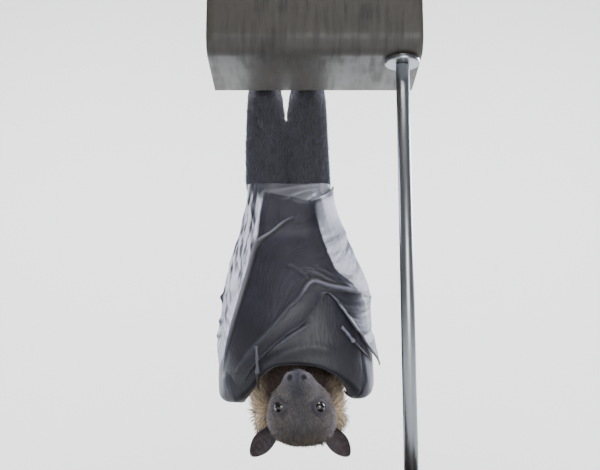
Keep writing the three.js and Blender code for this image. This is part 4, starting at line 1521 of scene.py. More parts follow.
@dataclass(frozen=True)
class Markings:
    """The coat's colours by place: amounts of grey, gold and rust over the dark ground colour, with dark rust
    as painted shade on the throat under the wings.
    """

    def amounts(self, points: Array) -> dict[str, Array]:
        """Amounts from 0 to 1 for each marking.

        Args:
            points: Places on the skin, in the animal's frame.

        Returns:
            Arrays by marking.
        """
        own = HEAD.into(points)
        forward, left, up = own[:, 0], np.abs(own[:, 1]), own[:, 2]
        soft = grain(points, 7.0, 41) * 3.0 + grain(points, 3.0, 42) * 1.5
        frost = grain(points, 5.0, 43) * 0.16
        z = points[:, 2]
        turn = turn_round(points, 1)
        behind = rise(100, 150, turn)
        head = HEAD.holds(points)
        face = head * rise(-31, -20, forward + soft * 0.6 - 0.12 * left)
        cape_top = 112 + 16 * behind - 10 * np.sin(np.radians(turn))
        below = 1 - rise(cape_top - 9, cape_top + 7, z + soft)
        gold = rise(36 + 10 * behind, 43 + 14 * behind, z + soft) * below * (1 - face)
        rust_and_shade = rise(0.15, 0.8, 1 - np.abs(gold - 0.55) * 2) * 0.7
        russet = gold * rise(72, 118, turn + 2 * soft) * (0.86 + frost)
        # painted shade: the throat under the wings' arch is painted dark rust instead of gold
        throat = (1 - rise(52, 82, turn + soft)) * rise(56, 70, z) * (1 - rise(100, 112, z)) * (1 - face)
        rust_and_shade = np.maximum(rust_and_shade, 0.8 * throat)
        gold = gold * (1 - 0.95 * throat)
        far, off = HEAD.off_look(own)
        ring = (1 - rise(66, 92, off)) * (1 - rise(8, 11, far))
        stripe = (1 - rise(3.0, 7.5, left - 0.1 * (12 - forward))) * rise(-8, 8, forward)
        cheek = rise(9, 20, left) * (1 - rise(14, 27, forward))
        cheek = cheek + 0.8 * mound(left - 9, 4) * rise(8, 16, forward)
        muzzle = rise(12, 26, forward)
        grey = face * np.clip(0.7 + 0.3 * cheek - 0.25 * stripe - 0.6 * ring - 0.42 * muzzle + frost, 0, 1)
        crown = head * (1 - rise(-30, -16, forward + soft * 0.7))
        olive = rise(8, 18, up) * head * (1 - rise(-16, -4, forward + soft))
        gold = np.maximum(gold, 0.42 * olive + 0.38 * crown)
        rust_and_shade = np.maximum(rust_and_shade, 0.3 * olive)
        rust_and_shade = np.maximum(rust_and_shade, 0.6 * rise(12, 25, points[:, 1]) * rise(112, 140, z))
        back = behind * rise(120, 150, z) * (1 - rise(225, 250, z))
        grey = np.maximum(grey, back * np.clip(0.12 + frost, 0, 1))
        grey = np.maximum(grey, 0.45 * behind * (1 - rise(44, 56, z + soft)))
        amounts = {"grey": grey, "gold": gold, "rust_and_shade": rust_and_shade, "russet": russet}
        return {name: np.clip(values, 0, 1) for name, values in amounts.items()}


MARKINGS = Markings()


@dataclass(frozen=True)
class Skin:
    """One skin under the coat: head, neck, trunk, legs and feet, without a seam."""

    voxel: float = 0.85

    def build(self, finish: Material, legs: Legs) -> Object:
        """Melts the parts into one closed skin, then adds the face's folds.

        Args:
            finish: Its material.
            legs: The legs and feet.

        Returns:
            The piece.
        """
        parts = [self.trunk(), self.neck(), self.head()]
        for side in (-1, 1):
            parts += [legs.leg(side), legs.foot(side)[0]]
        rough = make_piece("skin_parts", *joined(parts))
        modifier = rough.modifiers.new("melt", "REMESH")
        modifier.mode = "VOXEL"
        modifier.voxel_size = self.voxel * MM
        modifier.use_smooth_shade = True
        melted = bpy.data.meshes.new_from_object(rough.evaluated_get(bpy.context.evaluated_depsgraph_get()))
        bpy.data.objects.remove(rough)
        piece = into_scene("skin", melted)
        self.relax(piece, 3)
        self.refine(piece)
        self.relax(piece, 1)
        set_points(piece, self.face_folds(points_of(piece)))
        self.mark(piece)
        nodes = ("trunk", "collar", "head", "leg_left", "leg_right", "foot_left", "foot_right")
        return settle(piece, "body_fur", finish, *nodes)

    def trunk(self) -> tuple[Array, Faces]:
        """The trunk without its fur, well inside the wings.

        Returns:
            Vertices and faces.
        """
        z = np.linspace(WRAPPED.foot_z - 8, WRAPPED.top_z + 2, 60)[:, None]
        turn = np.linspace(-180, 180, 96, endpoint=False)[None]
        behind = rise(134, 150, np.abs(turn))
        body = WRAPPED.place(turn, z, -4.0 - 3.5 * (1 - behind) - 0.9 * WRAPPED.shoulder(turn, z))
        neck = WRAPPED.neck.point(turn, np.minimum(z, 94), -9.0 + 0 * turn * z)
        neck[..., 2] = body[..., 2]
        share = rise(88, 116, z)[..., None]
        return loft(body * share + neck * (1 - share))

    def neck(self) -> tuple[Array, Faces]:
        """The neck without its long fur.

        Returns:
            Vertices and faces.
        """
        z = np.linspace(46, 98, 30)[:, None]
        turn = np.linspace(-180, 180, 72, endpoint=False)[None]
        depth = 9.5 - 2.5 * rise(130, 170, np.abs(turn))
        return loft(WRAPPED.neck.point(turn, z, -depth + 0 * z))

    def head(self) -> tuple[Array, Faces]:
        """The head without its fur."""
        along = np.concatenate([np.linspace(*ends) for ends in ((-39, -30, 7), (-28, 28, 40), (29, 34.3, 8))])
        return loft(HEAD.out_of(np.stack([HEAD.ring(float(f), 56) for f in along])))

    @staticmethod
    def refine(piece: Object) -> None:
        """Halves the mesh round the eyes and over the muzzle, where the folds are fine.

        Args:
            piece: The skin.
        """
        own = HEAD.into(points_of(piece))
        far, off = HEAD.off_look(own)
        muzzle = (own[:, 0] > 25) & (np.abs(own[:, 1]) < 14) & (np.abs(own[:, 2]) < 26)
        fine = ((far < 11) & (off < 110)) | muzzle
        made = bmesh.new()
        made.from_mesh(piece.data)
        made.verts.ensure_lookup_table()
        edges = [e for e in made.edges if fine[e.verts[0].index] and fine[e.verts[1].index]]
        bmesh.ops.subdivide_edges(made, edges=edges, cuts=1, use_grid_fill=True)
        made.to_mesh(piece.data)
        made.free()

    @staticmethod
    def relax(piece: Object, times: int) -> None:
        """Smooths the steps that melting leaves.

        Args:
            piece: The skin.
            times: How often each vertex moves towards its neighbours.
        """
        mesh = piece.data
        edges = np.empty(len(mesh.edges) * 2, np.int32)
        mesh.edges.foreach_get("vertices", edges)
        a, b = edges.reshape(-1, 2).T
        points = points_of(piece)
        count = np.bincount(a, minlength=len(points)) + np.bincount(b, minlength=len(points))
        for _ in range(times):
            total = np.zeros_like(points)
            for axis, at in enumerate(points.T):
                total[:, axis] = np.bincount(a, at[b], len(at)) + np.bincount(b, at[a], len(at))
            points = points + 0.6 * (total / count[:, None] - points)
        set_points(piece, points)

    @staticmethod
    def face_folds(points: Array) -> Array:
        """Adds lids, brows, nostrils, lips, whisker pads and the groove between the nostrils.

        Args:
            points: The skin's vertices.

        Returns:
            The same vertices in their new places.
        """
        own = HEAD.into(points)
        near = (own[:, 0] > -26) & (np.linalg.norm(own, axis=1) < 60) & (HEAD.holds(points) > 0.5)
        p = own[near]
        side = np.abs(p[:, 1])
        mirrored = np.stack((p[:, 0], side, p[:, 2]), -1)

        def bump(at: Sequence[float], reach: float, high: float, shape: Sequence[float] = AS_PLACED) -> Array:
            """A mound, or a hollow where it is less than 0 high, on both sides of the face."""
            return high * mound(np.linalg.norm((mirrored - at) / shape, axis=1), reach)

        lift = bump((3, 14, 8.5), 4.0, 1.3, (1.2, 1.5, 1)) + bump((7, 0, 5), 7, -1.0)
        lift += bump((20, 5.5, -1.5), 4.5, 0.5, (2, 1, 1)) + bump((4, 21, -9), 7, 1.0)
        lift += bump((26, 8.5, -11.5), 4.5, 0.6) + bump((29, 0, -18.5), 5, 0.6)
        lift += bump((11, 18, -1), 6.5, -3.6, (1.2, 1, 1.1)) + bump((17, 12.5, 1), 5, -1.4, (1.5, 1, 1))
        lift += bump((33, 5.0, -9.3), 3.1, 1.3) + bump((34.5, 0, -6.5), 2.5, -0.8)
        lift += -3.2 * (1 - rise(0.5, 2.3, HEAD.off_nostril(p)))
        groove = mound(p[:, 1], 0.9) * rise(29, 32, p[:, 0]) * rise(-16.5, -14.5, p[:, 2])
        mouth = p[:, 2] - (-15.4 - 0.05 * (34 - p[:, 0]))
        lift += -1.4 * groove - 1.3 * mound(mouth, 0.8) * rise(4, 9, p[:, 0])
        lift += 0.7 * mound(mouth - 2.2, 1.5) * rise(12, 20, p[:, 0])
        core = np.stack((np.minimum(p[:, 0], 25) - 3, 0.3 * p[:, 1], np.full(len(p), -8.0)), -1)
        p = p + unit(p - core) * lift[:, None]
        far, off = HEAD.off_look(p)
        centre_y = np.sign(p[:, 1]) * HEAD.eye_apart / 2
        centre = np.stack((np.full(len(p), HEAD.eye_forward), centre_y, 0 * side), -1)
        rim = HEAD.eye_radius + 0.8
        lid = HEAD.eye_radius - 1.2 + 2.0 * rise(HEAD.opening - 3, HEAD.opening + 3, off)
        hold = (1 - rise(HEAD.opening + 12, 108, off)) * (far < 13)
        wanted = np.where(off < HEAD.opening + 12, np.minimum(lid, rim), rim)
        own[near] = centre + (p - centre) * (1 + hold * (wanted / np.maximum(far, 1e-6) - 1))[:, None]
        return HEAD.out_of(own)

    @staticmethod
    def mark(piece: Object) -> None:
        """Stores the coat's markings on the skin, and darkens the bare nose, lips and lids.

        Args:
            piece: The skin.
        """
        points = points_of(piece)
        own = HEAD.into(points)
        bare = np.maximum(rise(317, 319, points[:, 2]), 1 - rise(1.6, 2.8, HEAD.off_nostril(own)))
        for name, values in MARKINGS.amounts(points).items():
            set_value(piece, name, values * (1 - bare))
        set_value(piece, "along", np.where(bare > 0.5, 0.0, 0.3))
        set_value(piece, "tint", -1.0 * bare * (points[:, 2] < 300))


@dataclass(frozen=True)
class Ear:
    """One ear: a pointed bare shell, hollow towards the front."""

    base: tuple[float, float, float] = (19.5, -6.0, 44.5)
    tip: tuple[float, float, float] = (37.0, 8.0, 27.2)
    width: float = 15.0
    thick: float = 1.1
    hollow: float = 3.6

    def build(self, side: int, finish: Material) -> None:
        """Makes the shell with a thickened rim and a few ridges inside.

        Args:
            side: -1 left, 1 right.
            finish: Its material.
        """
        place = [np.array((HEAD.at[0] + side * x, y, z)) for x, y, z in (self.base, self.tip)]
        base, axis = place[0], place[1] - place[0]
        front = -unit(np.cross(np.cross(np.array((side * 0.35, -0.8, -0.35)), axis), axis))
        across = unit(np.cross(axis, front))
        u, v = np.meshgrid(np.linspace(-0.25, 1, 60), np.linspace(-1, 1, 45), indexing="ij")
        along = np.clip(u, 0, 1)
        taper = Profile((-0.25, 0, 0.3, 0.55, 0.78, 0.92, 1), (0.6, 0.74, 1.0, 0.98, 0.7, 0.38, 0.03))(u)
        lean = 0.9 * along**2 * self.width * 0.06 * side
        point = base + u[..., None] * axis + across * ((v * taper * self.width / 2 + lean)[..., None])
        cup = self.hollow * v * v * (1 - 0.6 * along) + 0.15 * np.sin(u * 40) * (1 - v * v)
        rim = self.thick * (0.8 + 0.35 * np.abs(v) ** 6)
        outer = point + front * (cup + rim / 2)[..., None]
        inner = point + front * (cup - rim / 2)[..., None]
        node = "ear_" + SIDES[side]
        piece = make_piece(node + "_shell", *closed_sheet(outer, inner), closed=True)
        settle(piece, "bare_skin", finish, node)


@dataclass(frozen=True)
class Eye:
    """One eye: a glossy ball with a bulging cornea, in a pair of thick lids."""

    lid: float = 0.55

    def build(self, side: int, gloss: Material, skin: Material) -> None:
        """Makes the ball and the lids.

        Args:
            side: -1 left, 1 right.
            gloss: The ball's material.
            skin: The lids' material.
        """
        name = SIDES[side]
        centre = HEAD.eye_centre(side)
        look = unit(np.array(HEAD.look) * (1, -side, 1)) @ HEAD.axes()
        whole = np.linspace(0, 2 * np.pi, 48, endpoint=False)
        a, b = np.meshgrid(np.linspace(0, np.pi, 34), whole, indexing="ij")
        sideways = unit(np.cross(look, (0.1, 0.2, 1.0)))
        upward = np.cross(sideways, look)
        radius = HEAD.eye_radius + 0.45 * mound(a, 0.55)
        ball = (
            centre
            + (radius * np.cos(a))[..., None] * look
            + (radius * np.sin(a) * np.cos(b))[..., None] * sideways
            + (radius * np.sin(a) * np.sin(b))[..., None] * upward
        )
        piece = make_piece("eyeball_" + name, *loft(ball[1:-1]), closed=True)
        offset = points_of(piece) - centre
        set_value(piece, "off_axis", np.arccos(np.clip(unit(offset) @ look, -1, 1)) / (np.pi / 2))
        settle(piece, "eye", gloss, "eye_" + name)
        t = np.linspace(0, 2 * np.pi, 61)
        angle = np.radians(HEAD.opening + 1.5 + 2.0 * np.cos(2 * t))[:, None]
        ring = np.cos(t)[:, None] * sideways + np.sin(t)[:, None] * upward
        path = centre + (HEAD.eye_radius + 0.35) * (np.cos(angle) * look + np.sin(angle) * ring)
        lids = make_piece("lids_" + name, *self.closed_ring(path[:-1], centre), closed=True)
        settle(lids, "bare_skin", skin)

    def closed_ring(self, path: Array, centre: Array) -> tuple[Array, Faces]:
        """A ring of soft lid skin along a closed path.

        Args:
            path: The path's points.
            centre: The eyeball's middle.

        Returns:
            Vertices and faces.
        """
        count, sides = len(path), 12
        forward = unit(np.roll(path, -1, axis=0) - np.roll(path, 1, axis=0))
        out = unit(path - centre)
        side = np.cross(forward, out)
        a = np.linspace(0, 2 * np.pi, sides, endpoint=False)
        ring = side[:, None] * np.cos(a)[None, :, None] * 1.25 + out[:, None] * np.sin(a)[None, :, None] * 0.8
        points = path[:, None] + ring * self.lid
        number = np.arange(count * sides).reshape(count, sides)
        after, below = np.roll(number, -1, axis=1), np.roll(number, -1, axis=0)
        faces = np.stack((number, after, np.roll(after, -1, axis=0), below), -1).reshape(-1, 4)
        return points.reshape(-1, 3), [faces]


# The coat


def unwrapped(across: Array, ahead: Array, share: Array) -> Array:
    """Places on an unwrap that runs round an axis, and along it by a share from 0 to 1."""
    return np.stack((np.arctan2(across, ahead) / (2 * np.pi) + 0.5, np.clip(share, 0, 1)), -1) * 0.985


@dataclass(frozen=True)
class Region:
    """One region of fur: how its locks are cut and, by place, where they grow, how they lie and how long.

    Its methods take places on the skin, in the animal's frame, and return a value or a vector for each.
    """

    name: str
    count: int
    length: tuple[float, float]  # shortest and longest, in mm
    width: float  # in mm
    lift: tuple[float, float]  # off the skin at the root and at the tip, in degrees
    curl: float = 0.25
    rings: int = 3
    spread: float = 0.22
    slot: str = "body_fur"

    def weight(self, points: Array) -> Array:
        """How thickly the locks grow, from 0."""
        return np.ones(len(points))

    def flow(self, points: Array) -> Array:
        """Which way the fur lies: from the head towards the feet."""
        waver = np.stack((grain(points, 12, 51), grain(points, 12, 52), 0 * points[:, 0]), -1)
        return np.tile((0.0, 0.0, 1.0), (len(points), 1)) + 0.12 * waver

    def scale(self, points: Array) -> Array:
        """A factor on the locks' length."""
        return np.ones(len(points))

    def unwrap(self, points: Array) -> Array:
        """Round the body, and from the throat to the ankles."""
        return unwrapped(points[:, 0] + 2, 12 - points[:, 1], (points[:, 2] - 30) / 295)


class HeadFur(Region):
    """Fur of the head, which lies back from the nose."""

    @staticmethod
    def clear(points: Array) -> Array:
        """Keeps the eyes, the lids, the nose and the lips bare.

        Args:
            points: Places on the skin.

        Returns:
            0 where no fur grows, and 1 where it may.
        """
        own = HEAD.into(points)
        far, off = HEAD.off_look(own)
        eyes = np.where(far < 9, rise(HEAD.opening + 5, HEAD.opening + 12, off), 1.0)
        return eyes * rise(1.6, 2.4, HEAD.off_nostril(own)) * (1 - rise(32.5, 34.0, own[:, 0]))

    def flow(self, points: Array) -> Array:
        """Back from the nose, and fanned out over the cheeks.

        Args:
            points: Places on the skin.

        Returns:
            Directions, one for each place.
        """
        forward, across, upward = HEAD.axes()
        side = HEAD.into(points)[:, 1:2]
        cheek = rise(6, 24, np.abs(side)) * np.sign(side)
        return -forward + cheek * across * 0.35 + upward * 0.25

    def unwrap(self, points: Array) -> Array:
        """Round the head, and from its back to the nose."""
        own = HEAD.into(points)
        return unwrapped(own[:, 1], own[:, 2] + 3, (own[:, 0] + 42) / 80)


class FaceFur(HeadFur):
    """The short fur of the face."""

    def weight(self, points: Array) -> Array:
        """On the face, and thicker towards the nose."""
        f = HEAD.into(points)[:, 0]
        return ((f > -16) & (HEAD.holds(points) > 0.3)) * self.clear(points) * (1 + 0.8 * rise(0, 20, f))

    def scale(self, points: Array) -> Array:
        """Shortest on the muzzle and round the eyes.

        Args:
            points: Places on the skin.

        Returns:
            A factor on the length for each place.
        """
        own = HEAD.into(points)
        far, off = HEAD.off_look(own)
        lid = 0.55 * (1 - rise(60, 95, off)) * (far < 11)
        return (1.0 - 0.52 * rise(-4, 24, own[:, 0])) * (1 - lid)


class CrownFur(HeadFur):
    """The longer fur of the crown and cheeks."""

    def weight(self, points: Array) -> Array:
        """On the back of the head, and thinner towards the face."""
        f = HEAD.into(points)[:, 0]
        return (f < 6) * (HEAD.holds(points) > 0.3) * self.clear(points) * (1 - 0.75 * rise(-10, 6, f))

    def scale(self, points: Array) -> Array:
        """Shorter towards the face."""
        return 1.0 - 0.5 * rise(-24, 2, HEAD.into(points)[:, 0])


class MantleFur(Region):
    """The long fur of the neck and shoulders."""

    def weight(self, points: Array) -> Array:
        """All round the neck, and on the nape between the wings."""
        z, turn = points[:, 2], turn_round(points, -1)
        return (HEAD.holds(points) < 0.3) * ((z < 100) | (turn > 128)) * (z < 132) * (z > 38)

    def scale(self, points: Array) -> Array:
        """Short on the throat, under the chin."""
        return 1 - 0.72 * (1 - rise(48, 78, turn_round(points, -1)))

    def flow(self, points: Array) -> Array:
        """Towards the body, and ruffled outwards where the head pushes it.

        Args:
            points: Places on the skin.

        Returns:
            Directions, one for each place.
        """
        away = points - (1, 12, 0)
        away[:, 2] = 0
        low = 1 - rise(46, 82, points[:, 2])
        return np.array((0, 0, 1.0)) * (1 - 1.5 * low)[:, None] + unit(away) * 0.3


class BackFur(Region):
    """The dense fur of the back, between the wings."""

    def weight(self, points: Array) -> Array:
        """On the strip that the wings leave free."""
        return (points[:, 2] > 112) * (points[:, 2] < 240) * rise(124, 132, turn_round(points, -3))


class LegFur(Region):
    """The flat fur of the legs, from the wings to the ankles."""

    def weight(self, points: Array) -> Array:
        """Above the wings, and none on the feet."""
        return (points[:, 2] > 230) * (1 - rise(314, 318, points[:, 2]))

    def scale(self, points: Array) -> Array:
        """Shorter towards the ankle."""
        return 1 - 0.55 * rise(296, 318, points[:, 2])


REGIONS = (
    FaceFur("coat_face", 19000, (2.4, 4.4), 0.5, (34, 14), rings=2),
    CrownFur("coat_crown", 16000, (4.5, 8.0), 0.7, (34, 12), rings=2),
    MantleFur("coat_mantle", 12000, (9.0, 15.0), 0.9, (52, 24), 0.35, slot="mantle_fur"),
    MantleFur("coat_mantle_under", 12000, (6.0, 10.0), 1.0, (38, 14), 0.3, slot="mantle_fur"),
    BackFur("coat_back", 12000, (8.0, 12.0), 1.0, (26, 5)),
    LegFur("coat_legs", 19000, (7.0, 11.0), 0.75, (13, 3), 0.08, rings=2, spread=0.1),
)


@dataclass
class Coat:
    """Locks of fur over the skin, grouped by region.

    A lock is a thin three-sided spike: rings of a left edge, a ridge and a right edge, and a tip.
    """

    skin: Object
    finish: Material
    map_edge: float = 0.003  # an empty margin of the map
    map_share: float = 0.99  # how much of the map one region takes
    map_step: float = 0.001  # between two corners of one lock
    widths: tuple[tuple[float, ...], ...] = ((0.9, 0.8), (0.75, 1.0, 0.62))  # of each ring, for two and three

    def __post_init__(self) -> None:
        """Reads the skin's triangles."""
        mesh = self.skin.data
        mesh.calc_loop_triangles()
        corners = np.empty(len(mesh.loop_triangles) * 3, np.int32)
        mesh.loop_triangles.foreach_get("vertices", corners)
        self.triangles = points_of(self.skin)[corners.reshape(-1, 3)]
        a, b, c = self.triangles.transpose(1, 0, 2)
        cross = np.cross(b - a, c - a)
        self.areas = np.linalg.norm(cross, axis=1) / 2
        self.normals = unit(cross)
        self.centres = self.triangles.mean(1)

    def roots(self, region: Region, count: int, rng: np.random.Generator) -> tuple[Array, Array]:
        """Scatters roots over the skin.

        Args:
            region: The region, which says how thickly its fur grows at each place.
            count: How many roots.
            rng: The random numbers.

        Returns:
            Root places and skin normals.
        """
        chance = self.areas * region.weight(self.centres)
        chosen = rng.choice(len(chance), count, p=chance / chance.sum())
        a, b = rng.random((2, count, 1))
        over = a + b > 1
        a, b = np.where(over, 1 - a, a), np.where(over, 1 - b, b)
        first, second, third = self.triangles[chosen].transpose(1, 0, 2)
        return first + a * (second - first) + b * (third - first), self.normals[chosen]

    def grow(self, region: Region, rng: np.random.Generator) -> None:
        """Grows one region's locks as one piece.

        Args:
            region: The region.
            rng: The random numbers.
        """
        count = region.count
        root, normal = self.roots(region, count, rng)
        lie = region.flow(root)
        lie = unit(lie - normal * np.sum(lie * normal, axis=1, keepdims=True))
        lie = unit(lie + np.cross(normal, lie) * rng.normal(0, region.spread, (count, 1)))
        across = np.cross(normal, lie)
        length = rng.uniform(*region.length, count) * region.scale(root)
        width = region.width * rng.uniform(0.75, 1.25, count) * 1.0
        start, end = np.radians(region.lift)
        angle = rng.normal(0, region.spread / 2, count)
        bend = rng.normal(0, region.curl, count)
        centre = root - normal * 0.5
        corners = []
        for k, wide in enumerate(self.widths[region.rings - 2]):
            share = k / region.rings
            tilt = (start + (end - start) * share + angle)[:, None]
            forward = unit(lie * np.cos(tilt) + normal * np.sin(tilt) + across * (bend * share)[:, None])
            upward = unit(np.cross(forward, across))
            upward = np.where(np.sum(upward * normal, axis=1, keepdims=True) < 0, -upward, upward)
            half = (width * wide / 2)[:, None]
            corners += [centre - across * half, centre + upward * half * 0.8, centre + across * half]
            centre = centre + forward * (length / region.rings)[:, None]
        self.piece(region, np.stack((*corners, centre), axis=1), root, rng)

    def piece(self, region: Region, points: Array, root: Array, rng: np.random.Generator) -> None:
        """Joins the locks of one region, and stores their colours and their map.

        Args:
            region: The region.
            points: Vertices by lock and by corner, with the tip last.
            root: Each lock's root.
            rng: The random numbers.
        """
        count, corners = points.shape[:2]
        last = 3 * (region.rings - 1)
        sides = ((0, 1), (1, 2), (2, 0))
        walls = [(r + a, r + b, r + 3 + b, r + 3 + a) for r in range(0, last, 3) for a, b in sides]
        ends = [(last + a, last + b, last + 3) for a, b in sides] + [(2, 1, 0)]
        starts = (np.arange(count) * corners)[:, None, None]
        faces = [(np.array(of_one)[None] + starts).reshape(-1, len(of_one[0])) for of_one in (walls, ends)]
        made = make_piece(region.name, points.reshape(-1, 3), faces)
        shares = np.append(np.repeat(np.arange(region.rings), 3), region.rings) / region.rings
        set_value(made, "along", np.tile(shares, count))
        set_value(made, "tint", np.repeat(rng.uniform(-1, 1, count), corners))
        for name, values in MARKINGS.amounts(root).items():
            set_value(made, name, np.repeat(values, corners))
        own = np.array([(k % 3, k // 3) for k in range(corners)]) * self.map_step
        spots = (self.map_edge + region.unwrap(root)[:, None] * self.map_share + own).reshape(-1, 2)
        order = np.concatenate([f.ravel() for f in faces])
        layer = made.data.uv_layers.new(name="OFBake")
        layer.data.foreach_set("uv", spots[order].astype(np.float32).ravel())
        settle(made, region.slot, self.finish)

    def build(self) -> None:
        """Grows every region, in order, from one row of random numbers."""
        rng = np.random.default_rng(SEED)
        for region in REGIONS:
            self.grow(region, rng)


# The perch and the stand


@dataclass(frozen=True)
class Perch:
    """A cut length of eaves gutter: rolled bead, flat pan, round corner, and a front with a rolled lip."""

    bead_z: float = 318.0
    bead_radius: float = 5.0
    sheet: float = 1.2
    pan: float = 70.0
    corner: float = 14.0
    front: float = 50.0
    lip: float = 4.0
    start_x: float = -66.0
    end_x: float = 92.0
    cut: float = 0.35  # how far the cut ends are eased
    bead_highlight: float = 0.85  # how much paler the bead and the pan's edge are painted, as painted highlight

    def build(self, finish: Material) -> None:
        """Bends the sheet's section and draws it along X, with slightly eased cut ends.

        Args:
            finish: The sheet's material.
        """
        roll = self.bead_radius - self.sheet / 2
        floor = self.bead_z - roll
        front = -self.pan - self.corner
        bead = self.arc(0, self.bead_z, roll, 215, -90, 40)
        corner = self.arc(-self.pan, floor + self.corner, self.corner, 270, 180, 16)
        lip = self.arc(front + self.lip, floor + self.front, self.lip, 180, -60, 24)
        line = np.concatenate((bead, corner, lip))
        tangent = unit(np.gradient(line, axis=0))
        normal = np.stack((-tangent[:, 1], tangent[:, 0]), -1)
        length = self.end_x - self.start_x
        xs = np.concatenate(((0.0, self.cut), np.linspace(6, length - 6, 30), (length - self.cut, length)))
        half = np.full(len(xs), self.sheet / 2)
        half[[0, -1]] *= 0.6
        sides = []
        for sign in (1, -1):
            flat = line[None] + sign * normal[None] * half[:, None, None]
            x = np.broadcast_to((xs + self.start_x)[:, None], flat.shape[:2])
            sides.append(np.stack((x, flat[..., 0], flat[..., 1]), -1))
        piece = make_piece("gutter_sheet", *closed_sheet(*sides), closed=True)
        # painted highlight on the bead and the pan's edge
        set_value(piece, "hem", self.bead_highlight * rise(-11, -9.5, points_of(piece)[:, 1]))
        settle(piece, "gutter_sheet", finish, "perch_gutter")

    @staticmethod
    def arc(y: float, z: float, radius: float, first: float, last: float, steps: int) -> Array:
        """Points along an arc of the section, with angles in degrees."""
        a = np.radians(np.linspace(first, last, steps + 1))
        return np.stack((y + radius * np.cos(a), z + radius * np.sin(a)), -1)


@dataclass(frozen=True)
class Stand:
    """A lacquered board, a brushed steel rod and the flange that carries the gutter's pan."""

    rod_x: float = 78.0
    rod_y: float = -66.0
    rod_radius: float = 5.0
    flange_radius: float = 13.0
    turned_ease: float = 0.5
    base_size: tuple[float, float, float] = (190.0, 165.0, 12.0)
    base_corner: float = 12.0
    base_ease: float = 1.6

    def build(self, steel: Material, board: Material) -> None:
        """Makes the three pieces, the turned ones from their nodes' own boxes.

        Args:
            steel: The rod's and flange's material.
            board: The base's material.
        """
        ease = self.turned_ease
        for part, r in (("rod", self.rod_radius), ("flange", self.flange_radius)):
            (_, _, low), (_, _, high) = (np.array(c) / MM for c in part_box("stand_" + part))
            outline = ((r - ease, low), (r, low + ease), (r, high - ease), (r - ease, high))
            settle(self.turned("stand_steel_" + part, outline), "stand_steel", steel, "stand_" + part)
        settle(self.board(), "stand_base", board, "stand_base")

    def turned(self, name: str, outline: Places, sides: int = 72) -> Object:
        """A turned piece on the rod's axis.

        Args:
            name: The piece's name.
            outline: Radii and heights.
            sides: Corners of its section.

        Returns:
            The piece, flat only across its ends.
        """
        r, z = np.array(outline, float).T
        a = np.linspace(0, 2 * np.pi, sides, endpoint=False)
        x = self.rod_x + r[:, None] * np.cos(a)
        y = self.rod_y + r[:, None] * np.sin(a)
        rings = np.stack((x, y, np.broadcast_to(z[:, None], x.shape)), -1)
        piece = make_piece(name, *loft(rings), closed=True)
        flatten_ends(piece, [abs(polygon.normal.z) >= 0.5 for polygon in piece.data.polygons])
        return piece

    def board(self) -> Object:
        """The base: a board with round corners and softly rounded edges.

        Returns:
            The piece, flat only across its top and underside.
        """
        width, depth, height = self.base_size
        corner, ease = self.base_corner, self.base_ease
        quarter = np.linspace(0, np.pi / 2, 9)
        rings = []
        for a in np.linspace(-np.pi / 2, np.pi / 2, 9):
            inward = ease * (1 - math.cos(a))
            z = (height / 2 - ease) * np.sign(a) + ease * math.sin(a) + height / 2
            outline = []
            for k, (sx, sy) in enumerate(((1, 1), (-1, 1), (-1, -1), (1, -1))):
                centre = np.array((sx * (width / 2 - corner), sy * (depth / 2 - corner)))
                turn = quarter + k * np.pi / 2
                outline.append(centre + (corner - inward) * np.stack((np.cos(turn), np.sin(turn)), -1))
            flat = np.concatenate(outline)
            rings.append(np.column_stack((flat, np.full(len(flat), z))) - ANIMAL_AT)
        piece = make_piece("stand_board", *loft(np.stack(rings)), closed=True)
        flatten_ends(piece, [len(polygon.vertices) != 4 for polygon in piece.data.polygons])
        return piece


# The studio


@dataclass(frozen=True)
class Softbox:
    """A square soft light, with places and size in mm in the shared frame and power in watts."""

    name: str
    at: tuple[float, float, float]
    aim: tuple[float, float, float]
    size: float
    power: float
    tint: str = "#ffffff"

    def build(self) -> None:
        """Makes the light."""
        data = bpy.data.lights.new(self.name, "AREA")
        data.color = linear(self.tint)[:3]
        data.size = self.size * MM
        data.energy = self.power
        holder = into_scene(self.name, data)
        place, target = Vector(self.at) * MM, Vector(self.aim) * MM
        holder.location = place
        holder.rotation_euler = (target - place).to_track_quat("-Z", "Y").to_euler()


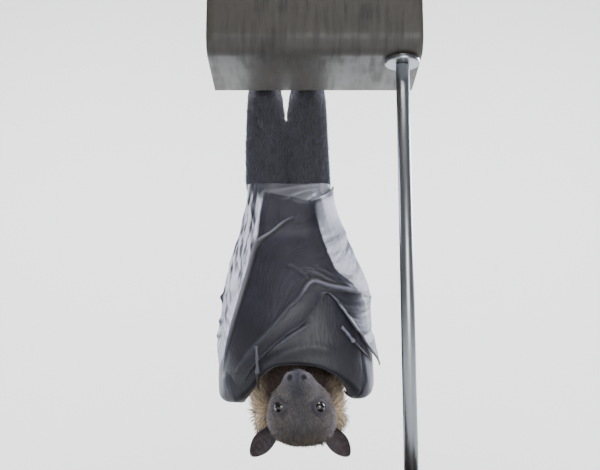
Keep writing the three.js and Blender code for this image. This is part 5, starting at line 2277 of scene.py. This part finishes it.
@dataclass(frozen=True)
class Studio:
    """A pale paper sweep, soft lights and the camera, in the shared frame and in mm."""

    camera_at: tuple[float, float, float] = (-9.7, -786.0, 20.0)
    camera_up_tilt: float = 12.28
    focal_pixels: float = 1053.2
    image_width: float = 600.0
    sensor: float = 36.0
    air: str = "#dfe4ea"
    air_strength: float = 0.24
    half_width: float = 5000.0
    bend: float = 900.0
    lights: tuple[Softbox, ...] = (
        Softbox("softbox_left_back", (-820, 640, 540), (-10, 20, 170), 520, 13.5, "#e6eaff"),
        Softbox("softbox_right_back", (840, 620, 600), (-10, 20, 170), 520, 16.5, "#e6eaff"),
        Softbox("softbox_top", (0, -260, 1300), (0, 0, 200), 600, 14.0),
        Softbox("softbox_front", (230, -1120, 250), (0, 0, 100), 560, 6.6),
        Softbox("paper_light_left", (-1300, 900, 1300), (-900, 3000, 500), 900, 120.0),
        Softbox("paper_light_right", (1300, 900, 1300), (900, 3000, 500), 900, 120.0),
    )

    def build(self, paper: Material) -> None:
        """Makes the sweep, the lights, the world and the camera.

        Args:
            paper: The sweep's material.
        """
        self.sweep(paper)
        world = bpy.data.worlds.new("studio_air")
        world.use_nodes = True
        background = world.node_tree.nodes["Background"]
        background.inputs["Color"].default_value = linear(self.air)
        background.inputs["Strength"].default_value = self.air_strength
        bpy.context.scene.world = world
        for light in self.lights:
            light.build()
        camera = bpy.data.cameras.new("camera")
        camera.sensor_width = self.sensor
        camera.lens = self.sensor * self.focal_pixels / self.image_width
        camera.clip_end = 50
        holder = into_scene("camera", camera)
        holder.location = [c * MM for c in self.camera_at]
        holder.rotation_euler = (math.radians(90 + self.camera_up_tilt), 0, 0)
        bpy.context.scene.camera = holder

    def sweep(self, paper: Material) -> None:
        """The floor, which curves up far behind.

        Args:
            paper: Its material.
        """
        turns = np.linspace(0, np.pi / 2, 24)
        curve = [(2200 + self.bend * math.sin(t), self.bend * (1 - math.cos(t))) for t in turns]
        y, z = np.array([(-2500.0, 0.0), (0.0, 0.0), *curve, (3100.0, 4000.0)]).T
        x = np.array((-self.half_width, self.half_width))
        points = np.stack(np.broadcast_arrays(x[:, None], y[None], z[None]), -1) - ANIMAL_AT
        number = np.arange(points[..., 0].size).reshape(points.shape[:2])
        floor = make_piece("floor", points.reshape(-1, 3), [squares(number)])
        floor.data.materials.append(paper)


def main() -> None:
    """Builds the animal, its perch and stand, and the studio."""
    logging.basicConfig(level=logging.INFO, format="%(message)s")
    membrane, fur, bare, horn, gloss = (kind().build() for kind in (Membrane, Fur, BareSkin, Horn, EyeGloss))
    Studio().build(StudioPaper().build())
    Perch().build(CoatedSheet().build())
    Stand().build(BrushedSteel().build(), LacqueredOak().build())
    wings, legs = Wings(), Legs()
    wings.over_hand(membrane)
    wings.under_hand(membrane)
    for side in (-1, 1):
        wings.arm(side, membrane)
        wings.thumb(side, membrane, horn)
        Ear().build(side, bare)
        Eye().build(side, gloss, bare)
        claws = make_piece("claws_" + SIDES[side], *legs.foot(side)[1])
        settle(claws, "claw_horn", horn)
    Coat(Skin().build(fur, legs), fur).build()


if __name__ == "__main__":
    main()
